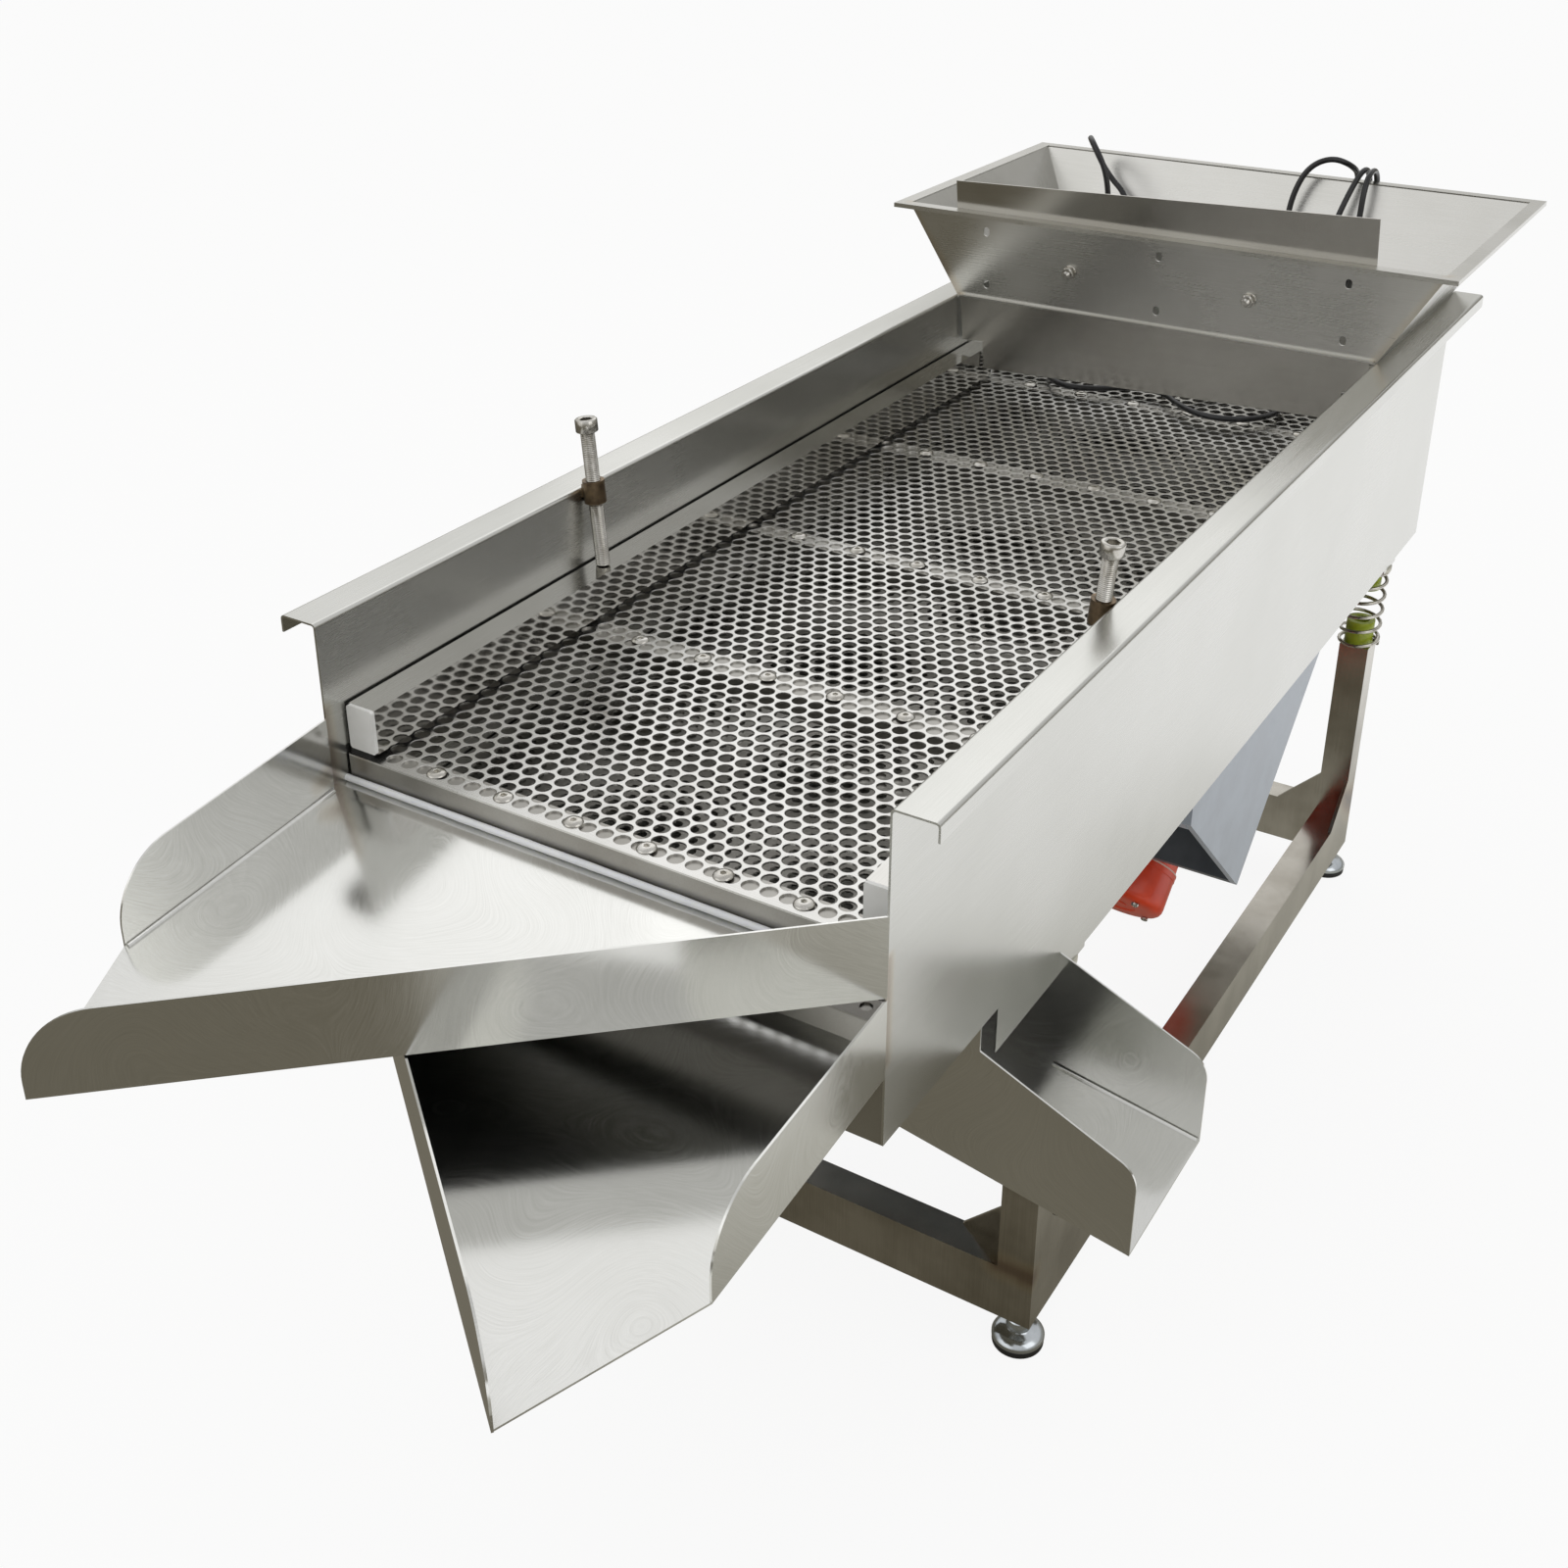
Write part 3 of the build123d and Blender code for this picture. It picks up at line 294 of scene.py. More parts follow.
@dataclass(frozen=True)
class Coating:
    """Paint, enamel, plastic or rubber: a solid colour with the texture of how it was made."""

    name: str
    colour: str
    shade: str
    roughness: float
    grain_mm: float
    bump_mm: float
    ior: float = 1.5
    coat: float = 0.0
    translucency: float = 0.0
    cloud_mm: float = 45.0
    spread: float = 0.18

    def build(self) -> bpy.types.Material:
        """Make the coating's material, or return it if it is already made."""
        material, tree, shader = blank_material(self.name)
        if shader is None:
            return material
        coords = add_node(tree, "ShaderNodeTexCoord").outputs["Object"]
        fine = add_node(tree, "ShaderNodeTexNoise", {"Scale": 1000 / self.grain_mm, "Detail": 4.0},
                        {"Vector": coords}).outputs["Fac"]
        broad = add_node(tree, "ShaderNodeTexNoise", {"Scale": 1000 / self.cloud_mm, "Detail": 3.0},
                         {"Vector": coords}).outputs["Fac"]
        tone = ramp(tree, broad, [(0.36, linear(self.shade)), (0.6, linear(self.colour))])
        rough = add_node(tree, "ShaderNodeMapRange",
                         {"From Min": NOISE_LOW, "From Max": NOISE_HIGH,
                          "To Min": self.roughness * (1 - self.spread),
                          "To Max": self.roughness * (1 + self.spread)}, {"Value": broad}).outputs["Result"]
        feed_shader(tree, shader, tone, rough, fine, self.bump_mm)
        shader.inputs["IOR"].default_value = self.ior
        shader.inputs["Coat Weight"].default_value = self.coat
        shader.inputs["Coat Roughness"].default_value = 0.08
        shader.inputs["Subsurface Weight"].default_value = self.translucency
        shader.inputs["Subsurface Radius"].default_value = (0.004, 0.004, 0.002)
        return material


def blank_material(name: str) -> tuple[bpy.types.Material, bpy.types.NodeTree, bpy.types.Node | None]:
    """Make an empty material with a Principled shader.

    Args:
        name: name of the material.

    Returns:
        The material, its tree and its shader. The shader is None if the material was there.
    """
    old = bpy.data.materials.get(name)
    if old is not None and old.get("finish"):
        return old, old.node_tree, None
    material = bpy.data.materials.new(name)
    material["finish"] = True
    material.use_nodes = True
    shader = material.node_tree.nodes["Principled BSDF"]
    return material, material.node_tree, shader


def feed_shader(tree: bpy.types.NodeTree, shader: bpy.types.Node, tone: bpy.types.NodeSocket,
                rough: bpy.types.NodeSocket, height: bpy.types.NodeSocket, bump_mm: float) -> None:
    """Link a finish's colour, roughness and relief to its shader.

    Args:
        tree: node tree of the material.
        shader: its Principled shader.
        tone: colour.
        rough: roughness.
        height: relief, from 0 to 1.
        bump_mm: how high a relief of 1 stands.
    """
    bump = add_node(tree, "ShaderNodeBump", {"Strength": 1.0, "Distance": bump_mm * MM}, {"Height": height})
    for name, socket in (("Base Color", tone), ("Roughness", rough), ("Normal", bump.outputs["Normal"])):
        tree.links.new(socket, shader.inputs[name])


# Cold rolled 304 sheet with a satin brushed face: pale grey, soft streaked reflections.
TROUGH_SHEET = Metal("satin_brushed_stainless_trough", "#D3D3CF", "#C4C4BF", 0.26, spread=0.04,
                     grain=Grain.LENGTHWISE, anisotropy=0.3, cloud_mm=320.0,
                     marks=(HeatMark((-300, 0, -90), (-300, 4, -215), 16, 0.6),
                            HeatMark((298, 2, -140), (298, 2, -240), 12, 0.5)))
# The same sheet after a hand pad has blended its welds: curved scratches and a brighter face.
CHUTE_SHEET = Metal("hand_blended_stainless_chutes", "#E3E3E0", "#D5D5D1", 0.15, spread=0.05,
                    grain=Grain.SWIRLED, line_mm=1.3, cloud_mm=170.0, bump_mm=0.013, streak=0.55,
                    marks=(HeatMark((-298, 2, -150), (-290, -20, -160), 18, 0.5),))
HOPPER_SHEET = Metal("satin_brushed_stainless_hopper", "#D1D0CC", "#BFBEB9", 0.28, grain=Grain.CROSSWISE,
                     anisotropy=0.3, cloud_mm=200.0,
                     marks=(HeatMark((-300, 1276, 2), (-374, 1264, 122), 14, 0.35),
                            HeatMark((300, 1276, 2), (374, 1264, 122), 14, 0.35)))
GATE_SHEET = Metal("satin_brushed_stainless_gate", "#C2C0BA", "#ABA8A1", 0.22, grain=Grain.CROSSWISE,
                   anisotropy=0.3, cloud_mm=220.0)
# Bright drawn flat bar: its inner side mirrors the punched plate.
BAR_STEEL = Metal("bright_drawn_stainless_bar", "#D3D2CE", "#C4C2BD", 0.06, spread=0.02,
                  grain=Grain.LENGTHWISE, cloud_mm=120.0, bump_mm=0.003)
PAN_SHEET = Metal("mill_finish_stainless_pans", "#BDBCB7", "#A9A7A1", 0.32, cloud_mm=180.0)
# Welded square tube: smoother than the sheet, with darker patches and heat tint at the joints.
TUBE_STEEL = Metal("welded_stainless_tube", "#BCB8AF", "#979287", 0.19, spread=0.07, grain=Grain.UPRIGHT,
                   cloud_mm=80.0, bump_mm=0.010,
                   marks=(HeatMark((292, 372, -800), (250, 372, -800), 26, 0.6),
                          HeatMark((292, 1551, -800), (292, 1500, -760), 40, 0.85),
                          HeatMark((-292, 372, -800), (-250, 372, -800), 26, 0.55)))
PUNCHED_SHEET = Metal("punched_stainless_screen", "#DAD9D6", "#C6C5C1", 0.27, grain=Grain.CROSSWISE,
                      line_mm=1.2, cloud_mm=70.0)
# The lower plate is painted darker for the shade that it lies in, and it also carries a film of dust.
LOWER_SHEET = Metal("dusty_and_shaded_punched_stainless_screen", "#9C9A95", "#86837D", 0.40, line_mm=1.2, cloud_mm=70.0)
DECK_STEEL = Metal("mill_finish_stainless_frame", "#ADABA6", "#93908A", 0.34, cloud_mm=80.0)
# Turned and tumbled fasteners: bright, with small cloudy stains.
FASTENER = Metal("bright_stainless_fastener", "#D0CEC9", "#AEAAA1", 0.20, cloud_mm=14.0, bump_mm=0.01)
WELDED_BOSS = Metal("heat_stained_boss", "#8E7B62", "#55483B", 0.36, cloud_mm=12.0, bump_mm=0.02)
# Zinc plate: cool blue white with a fine polished face.
ZINC_PLATE = Metal("bright_zinc_plate", "#CFD4D8", "#AEB4B9", 0.17, cloud_mm=30.0)
SPRING_WIRE = Metal("polished_spring_wire", "#CDCAC2", "#A5A198", 0.16, cloud_mm=18.0)
# Grey paint over folded steel, semi gloss, with a trace of orange peel.
BRACKET_PAINT = Coating("semi_gloss_grey_paint", "#AEB6C0", "#A1A9B4", 0.38, 3.0, 0.02, coat=0.1)
# Painted shade: the motor mount plate inside the bracket's V gets a darker grey than the bracket's paint, for
# the shadow it sits in.
BRACKET_SHADE_PAINT = Coating("shade_darkened_grey_paint", "#6C7076", "#5E6268", 0.42, 3.0, 0.02)
# Baked enamel on the cast motor housings: saturated, wet looking.
MOTOR_ENAMEL = Coating("orange_red_enamel", "#F0481A", "#DC3B12", 0.34, 4.0, 0.05, coat=0.15)
# Pale flat gasket between a motor's body and its end covers.
GASKET = Coating("pale_fibre_gasket", "#E9C9BC", "#DDB9AB", 0.55, 1.5, 0.02)
# Pressed steel seat on top of the springs' upper cups.
IVORY_PAINT = Coating("ivory_paint", "#D9D6C8", "#CBC8BA", 0.40, 3.0, 0.02)
# Cast polyurethane: slightly waxy and lets a little light in.
URETHANE = Coating("cast_lime_polyurethane", "#A7B62C", "#96A523", 0.36, 5.0, 0.05, ior=1.52,
                   translucency=0.15)
NYLON_WHITE = Coating("moulded_white_polyethylene", "#F2F2F0", "#E9E9E6", 0.42, 2.0, 0.01, ior=1.54)
SILICONE = Coating("white_silicone_sealant", "#F4F5F7", "#E9EBEE", 0.30, 6.0, 0.15, ior=1.41,
                   translucency=0.1)
RUBBER = Coating("black_moulded_rubber", "#1D1D1E", "#161617", 0.55, 1.2, 0.02, ior=1.52)
# Extruded PVC sheath: black, glossy enough to carry a thin highlight.
CABLE_SHEATH = Coating("black_pvc_sheath", "#17171A", "#121214", 0.30, 1.5, 0.015, ior=1.53)
NYLON_BLACK = Coating("black_moulded_nylon", "#1B1B1C", "#151516", 0.45, 1.5, 0.01, ior=1.53)


@dataclass
class Shape:
    """Points and faces of a mesh in millimetres."""

    points: list[Point] = field(default_factory=list)
    faces: list[tuple[int, ...]] = field(default_factory=list)

    def add(self, other: "Shape", place: Matrix | None = None) -> "Shape":
        """Join another shape to this one.

        Args:
            other: shape that is added.
            place: where it goes, in millimetres, or None to leave it as it is.

        Returns:
            This shape.
        """
        base = len(self.points)
        if place is None:
            self.points.extend(other.points)
        else:
            self.points.extend(tuple(place @ Vector(p)) for p in other.points)
        self.faces.extend(tuple(i + base for i in face) for face in other.faces)
        return self


def ring_radius(radius: float, sides: int, angle: float) -> float:
    """Return the distance to a regular polygon's rim at an angle; 0 sides is a circle."""
    if sides == 0:
        return radius
    step = 2 * math.pi / sides
    return radius * math.cos(step / 2) / math.cos((angle % step) - step / 2)


def lathe(profile: Sequence[tuple[float, ...]], segments: int = 48) -> Shape:
    """Turn a profile about the z axis.

    Args:
        profile: (radius, height) or (radius, height, sides) from one end to the other. A radius
            of 0 closes the end, and sides make that ring a polygon.
        segments: points in each ring.

    Returns:
        The turned shape.
    """
    shape = Shape()
    rings: list[list[int]] = []
    for entry in profile:
        radius, height = entry[0], entry[1]
        sides = int(entry[2]) if len(entry) > 2 else 0
        start = len(shape.points)
        if radius == 0:
            shape.points.append((0.0, 0.0, height))
            rings.append([start])
            continue
        for i in range(segments):
            angle = 2 * math.pi * i / segments
            r = ring_radius(radius, sides, angle)
            shape.points.append((r * math.cos(angle), r * math.sin(angle), height))
        rings.append(list(range(start, start + segments)))
    for low, high in zip(rings, rings[1:]):
        for i in range(segments):
            j = (i + 1) % segments
            if len(low) == 1:
                shape.faces.append((low[0], high[j], high[i]))
            elif len(high) == 1:
                shape.faces.append((low[i], low[j], high[0]))
            else:
                shape.faces.append((low[i], low[j], high[j], high[i]))
    return shape


def threaded_rod(radius: float, length: float, pitch: float, depth: float) -> Shape:
    """Make a rod with a rolled thread, closed and chamfered at both ends.

    Args:
        radius: outside radius of the thread.
        length: length of the rod.
        pitch: distance between threads.
        depth: depth of the thread.

    Returns:
        The rod, standing on z = 0.
    """
    segments, per_pitch = 20, 5
    rows = int(length / pitch * per_pitch)
    shape = Shape()
    shape.points.append((0.0, 0.0, 0.0))
    for row in range(rows + 1):
        z = length * row / rows
        end = min(z, length - z)
        for i in range(segments):
            turn = i / segments
            wave = abs(((z / pitch + turn) % 1) * 2 - 1)
            r = min(radius - depth * wave, radius - depth + end * 0.8)
            angle = 2 * math.pi * turn
            shape.points.append((r * math.cos(angle), r * math.sin(angle), z))
    for row in range(rows):
        low = 1 + row * segments
        for i in range(segments):
            j = (i + 1) % segments
            shape.faces.append((low + i, low + j, low + segments + j, low + segments + i))
    shape.points.append((0.0, 0.0, length))
    last, top = 1 + rows * segments, len(shape.points) - 1
    for i in range(segments):
        j = (i + 1) % segments
        shape.faces.append((0, 1 + j, 1 + i))
        shape.faces.append((last + i, last + j, top))
    return shape


def tube(path: Sequence[Vector], radius: float | Sequence[float], sides: int = 16) -> Shape:
    """Sweep a circle along a path.

    Args:
        path: points of the centre line, in millimetres.
        radius: radius of the tube, the same all along or one for each point.
        sides: points round the tube.

    Returns:
        The tube, closed at both ends.
    """
    radii = [radius] * len(path) if isinstance(radius, (int, float)) else list(radius)
    shape = Shape()
    normal = None
    for i, point in enumerate(path):
        way = (path[min(i + 1, len(path) - 1)] - path[max(i - 1, 0)]).normalized()
        if normal is None:
            normal = way.orthogonal().normalized()
        normal = (normal - way * normal.dot(way)).normalized()
        other = way.cross(normal)
        for k in range(sides):
            angle = 2 * math.pi * k / sides
            spot = point + (normal * math.cos(angle) + other * math.sin(angle)) * radii[i]
            shape.points.append(tuple(spot))
    for i in range(len(path) - 1):
        low = i * sides
        for k in range(sides):
            j = (k + 1) % sides
            shape.faces.append((low + k, low + j, low + sides + j, low + sides + k))
    shape.faces.append(tuple(reversed(range(sides))))
    shape.faces.append(tuple(range(len(shape.points) - sides, len(shape.points))))
    return shape


def hex_nut(across: float, height: float) -> Shape:
    """Make a chamfered hexagon nut or bolt head.

    Args:
        across: distance across its flats.
        height: height of the hexagon.

    Returns:
        The hexagon, standing on z = 0.
    """
    flat = across / 2
    corner = flat / math.cos(math.pi / 6)
    return lathe([(0, 0), (flat * 0.98, 0), (corner, 0.9, 6), (corner, height - 1.1, 6),
                  (flat * 0.94, height), (0, height)])


def socket_head(radius: float, height: float, socket: float) -> Shape:
    """Make a knurled cap head with a hexagon socket, standing on z = 0."""
    profile = [(0, 0), (radius - 0.6, 0), (radius, 0.6), (radius, height - 1.2), (radius - 1.2, height),
               (socket * 1.12, height), (socket, height - 0.8, 6), (socket, height * 0.45, 6),
               (0, height * 0.40)]
    ridges = 72
    head = lathe(profile, ridges)
    knurled = []
    for x, y, z in head.points:
        r = math.hypot(x, y)
        if r > radius - 0.1 and 0.5 < z < height - 1:
            wave = 0.35 if int(round(math.atan2(y, x) / (2 * math.pi) * ridges)) % 2 else 0.0
            x, y = x * (r - wave) / r, y * (r - wave) / r
        knurled.append((x, y, z))
    head.points = knurled
    return head


def aim(origin: Vector | Point, way: Vector | Point) -> Matrix:
    """Return the place whose z axis points along a way."""
    turn = Vector(way).normalized().to_track_quat("Z", "Y").to_matrix().to_4x4()
    return Matrix.Translation(Vector(origin)) @ turn


def piece(name: str, shape: Shape, finish: Metal | Coating, body: str,
          replaces: Sequence[str] = (), blend: tuple[str, Vector, Vector] | None = None,
          sharp_deg: float = 35.0) -> None:
    """Turn a shape into a finished piece that rides on its body, or that stays fixed in place if it is given
    a blend.

    Args:
        name: name of the piece.
        shape: its mesh in millimetres from the datum.
        finish: its finish.
        body: the body that it moves with.
        replaces: nodes of the frame that it stands for.
        blend: a second body and two points, if it joins two bodies. If it is given, the piece is fixed in
            place and rides on no body; the second body and the points are not used.
        sharp_deg: edges that turn by more than this stay crisp.
    """
    mesh = bpy.data.meshes.new(name)
    mesh.from_pydata([tuple(at(*p)) for p in shape.points], [], shape.faces)
    mesh.update()
    mesh.polygons.foreach_set("use_smooth", [True] * len(mesh.polygons))
    mesh.set_sharp_from_angle(angle=math.radians(sharp_deg))
    mesh.materials.append(finish.build())
    obj = bpy.data.objects.new(name, mesh)
    bpy.context.scene.collection.objects.link(obj)
    if blend:
        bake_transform(obj)
    else:
        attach(obj, body)
    if replaces:
        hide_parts(*replaces)
    log.info("%s: %d faces on %s", name, len(shape.faces), body)


@dataclass
class Studio:
    """Camera, pale floor and soft lights."""

    focal_px: float = 1892.58
    image_px: float = 1600.0
    centre_px: tuple[float, float] = (801.12, 631.43)
    camera: Point = (862.97, -1056.74, 734.82)
    yaw_deg: float = 31.93
    pitch_deg: float = 25.74
    floor_half_m: float = 14.0
    camera_white: float = 0.9
    # The mirrored floor grows paler along this way, which points right and a little back: painted light, from
    # its shaded part to its sunlit one.
    sunlit_way: Point = (1.0, 0.40, 0.0)
    sunlit_span_m: tuple[float, float] = (0.40, 1.80)
    blotches_per_m: float = 1.6
    blotch_m: float = 0.5
    # One painted pool of light on the mirrored floor in front: its place, its inner and outer radius, and how
    # far it lifts the floor.
    patch_place_m: Point = (0.72, -1.70, 0.0)
    patch_radii_m: tuple[float, float] = (0.04, 0.34)
    patch_lift_m: float = 1.4
    # Name, place and side in metres, and power in watts, of each soft box.
    lamps: tuple[tuple[str, Point, float, float], ...] = (
        ("key_lamp", (-1.6, 0.3, 3.2), 1.8, 2.4),
        ("fill_lamp", (2.8, -0.6, 2.6), 2.4, 14.0),
        ("rear_lamp", (-1.4, 2.6, 3.0), 2.2, 5.0))
    # The workshop floor that bare steel mirrors, from its shaded part to its sunlit one: painted light and
    # shade on a floor that glows for glossy rays.
    floor_tones: tuple[tuple[float, Colour], ...] = (
        (0.0, (0.17, 0.155, 0.12, 1.0)), (0.35, (0.50, 0.49, 0.44, 1.0)), (0.62, grey(1.05)),
        (1.0, grey(1.12)))
    # The room's light, from below the horizon to overhead.
    sky_tones: tuple[tuple[float, Colour], ...] = (
        (0.0, (0.40, 0.38, 0.33, 1.0)), (0.17, (0.30, 0.28, 0.24, 1.0)), (0.33, (0.42, 0.41, 0.37, 1.0)),
        (0.50, grey(0.82)), (0.80, grey(0.90)), (1.0, grey(0.80)))
    sky_span: tuple[float, float] = (-0.2, 1.0)
    sky_strength: float = 0.85
    camera_sky: float = 0.93
    # Windows behind on the left, mirrored by the level plates, and in front, by the hopper.
    windows: tuple[tuple[Point, float], ...] = (((-0.50, 0.78, 0.38), 0.32), ((-0.48, -0.83, 0.28), 0.55))
    window_edge: tuple[float, float] = (0.78, 0.98)

    def build(self) -> None:
        """Make the camera, the floor, the sky and the lamps."""
        self.place_camera()
        self.lay_floor()
        self.light_sky()
        for lamp in self.lamps:
            self.hang_lamp(*lamp)

    def place_camera(self) -> None:
        """Set the camera where the photograph was taken from."""
        data = bpy.data.cameras.new("photo_camera")
        data.sensor_width = 36.0
        data.lens = 36.0 * self.focal_px / self.image_px
        data.shift_x = (self.image_px / 2 - self.centre_px[0]) / self.image_px
        data.shift_y = (self.centre_px[1] - self.image_px / 2) / self.image_px
        data.clip_start = 0.05
        camera = bpy.data.objects.new("photo_camera", data)
        camera.location = at(*self.camera)
        camera.rotation_euler = (math.radians(90 - self.pitch_deg), 0.0, math.radians(self.yaw_deg))
        bpy.context.scene.collection.objects.link(camera)
        bpy.context.scene.camera = camera
        bpy.context.scene.view_settings.view_transform = "Standard"

    def lay_floor(self) -> None:
        """Lay a white floor that keeps a faint shadow. Glossy rays see it glow with a painted workshop floor
        of shade, sunlight and a pool of light, and bare steel mirrors that.
        """
        mesh = bpy.data.meshes.new("studio_floor")
        half = self.floor_half_m
        mesh.from_pydata([(-half, -half, 0), (half, -half, 0), (half, half, 0), (-half, half, 0)], [],
                         [(0, 1, 2, 3)])
        material = bpy.data.materials.new("white_floor_glowing_painted_light")
        material.use_nodes = True
        tree = material.node_tree
        tree.nodes.clear()
        coords = add_node(tree, "ShaderNodeTexCoord").outputs["Object"]
        spread = add_node(tree, "ShaderNodeVectorMath", {1: self.sunlit_way}, {0: coords},
                          operation="DOT_PRODUCT").outputs["Value"]
        blotches = add_node(tree, "ShaderNodeTexNoise", {"Scale": self.blotches_per_m, "Detail": 2.0},
                            {"Vector": coords}).outputs["Fac"]
        shifted = add_node(tree, "ShaderNodeMath", {1: self.blotch_m}, {0: blotches},
                           operation="MULTIPLY").outputs[0]
        place = add_node(tree, "ShaderNodeMath", links={0: spread, 1: shifted}, operation="ADD").outputs[0]
        # Painted pool of light on the mirrored floor, brightest at its centre.
        away = add_node(tree, "ShaderNodeVectorMath", {1: self.patch_place_m}, {0: coords},
                        operation="DISTANCE").outputs["Value"]
        near, far = self.patch_radii_m
        patch = add_node(tree, "ShaderNodeMapRange", {"From Min": near, "From Max": far,
                                                      "To Min": self.patch_lift_m, "To Max": 0.0},
                         {"Value": away}, interpolation_type="SMOOTHSTEP").outputs["Result"]
        place = add_node(tree, "ShaderNodeMath", links={0: place, 1: patch}, operation="ADD").outputs[0]
        near, far = self.sunlit_span_m
        mirrored = ramp(tree, add_node(tree, "ShaderNodeMapRange", {"From Min": near, "From Max": far},
                                       {"Value": place}).outputs["Result"], self.floor_tones)
        path = add_node(tree, "ShaderNodeLightPath")
        painted = add_node(tree, "ShaderNodeBsdfDiffuse", {"Color": linear("#EDEDEB")}).outputs[0]
        white = add_node(tree, "ShaderNodeEmission", {"Color": grey(1.0), "Strength": 1.0}).outputs[0]
        # Painted light: glossy rays see the floor glow with this shaded and sunlit pattern, which no lamp
        # lights.
        workshop = add_node(tree, "ShaderNodeEmission", {"Strength": 1.0}, {"Color": mirrored}).outputs[0]
        share = add_node(tree, "ShaderNodeMath", {1: self.camera_white}, {0: path.outputs["Is Camera Ray"]},
                         operation="MULTIPLY").outputs[0]
        mixed = add_node(tree, "ShaderNodeMixShader", links={0: share, 1: painted, 2: white}).outputs[0]
        mixed = add_node(tree, "ShaderNodeMixShader",
                         links={0: path.outputs["Is Glossy Ray"], 1: mixed, 2: workshop}).outputs[0]
        add_node(tree, "ShaderNodeOutputMaterial", links={"Surface": mixed})
        mesh.materials.append(material)
        floor = bpy.data.objects.new("studio_floor", mesh)
        bpy.context.scene.collection.objects.link(floor)

    def light_sky(self) -> None:
        """Fill the room with soft light, darker near the horizon as a workshop's walls are."""
        world = bpy.data.worlds.new("studio_world")
        bpy.context.scene.world = world
        world.use_nodes = True
        tree = world.node_tree
        tree.nodes.clear()
        coords = add_node(tree, "ShaderNodeTexCoord").outputs["Generated"]
        height = add_node(tree, "ShaderNodeSeparateXYZ", links={"Vector": coords}).outputs["Z"]
        low, high = self.sky_span
        lifted = add_node(tree, "ShaderNodeMapRange", {"From Min": low, "From Max": high},
                          {"Value": height}).outputs["Result"]
        light = add_node(tree, "ShaderNodeBackground", {"Strength": self.sky_strength},
                         {"Color": ramp(tree, lifted, self.sky_tones)}).outputs[0]
        low, high = self.window_edge
        for way, strength in self.windows:
            facing = add_node(tree, "ShaderNodeVectorMath", {1: way}, {0: coords},
                              operation="DOT_PRODUCT").outputs["Value"]
            glow = add_node(tree, "ShaderNodeMapRange", {"From Min": low, "From Max": high,
                                                         "To Min": 0.0, "To Max": strength},
                            {"Value": facing}, interpolation_type="SMOOTHSTEP").outputs["Result"]
            window = add_node(tree, "ShaderNodeBackground", {"Color": grey(1.0)},
                              {"Strength": glow}).outputs[0]
            light = add_node(tree, "ShaderNodeAddShader", links={0: light, 1: window}).outputs[0]
        pale = add_node(tree, "ShaderNodeBackground",
                        {"Color": grey(self.camera_sky), "Strength": 1.0}).outputs[0]
        seen = add_node(tree, "ShaderNodeLightPath").outputs["Is Camera Ray"]
        mixed = add_node(tree, "ShaderNodeMixShader", links={0: seen, 1: light, 2: pale}).outputs[0]
        add_node(tree, "ShaderNodeOutputWorld", links={"Surface": mixed})

    def hang_lamp(self, name: str, place: Point, size: float, watts: float) -> None:
        """Hang a square soft box that points at the machine.

        Args:
            name: name of the lamp.
            place: where it hangs, in metres.
            size: length of its side, in metres.
            watts: its power.
        """
        data = bpy.data.lights.new(name, "AREA")
        data.shape = "SQUARE"
        data.size = size
        data.energy = watts
        lamp = bpy.data.objects.new(name, data)
        lamp.location = place
        aim_at = Vector((0.0, 0.0, 0.7)) - Vector(place)
        lamp.rotation_euler = aim_at.to_track_quat("-Z", "Y").to_euler()
        bpy.context.scene.collection.objects.link(lamp)


@dataclass
class MotorCable:
    """Black cable from a motor's gland, up the back, over the hopper's rim and onto the deck."""

    side: str
    length_m: float
    route: Sequence[Point]
    diameter_mm: float = 8.5

    def build(self) -> None:
        """Make the cable from its gland to its bare end."""
        name = f"cable_{self.side}"
        curve = bpy.data.curves.new(f"motor_{name}", "CURVE")
        curve.dimensions = "3D"
        curve.bevel_depth = self.diameter_mm / 2 * MM
        curve.bevel_resolution = 5
        curve.resolution_u = 12
        curve.use_fill_caps = True
        spline = curve.splines.new("NURBS")
        spline.points.add(len(self.route) - 1)
        for point, place in zip(spline.points, self.route):
            point.co = (*at(*place), 1.0)
        spline.order_u = 3
        spline.use_endpoint_u = True
        curve.materials.append(CABLE_SHEATH.build())
        obj = bpy.data.objects.new(f"motor_{name}", curve)
        bpy.context.scene.collection.objects.link(obj)
        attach(obj, "trough")
        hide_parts(name)


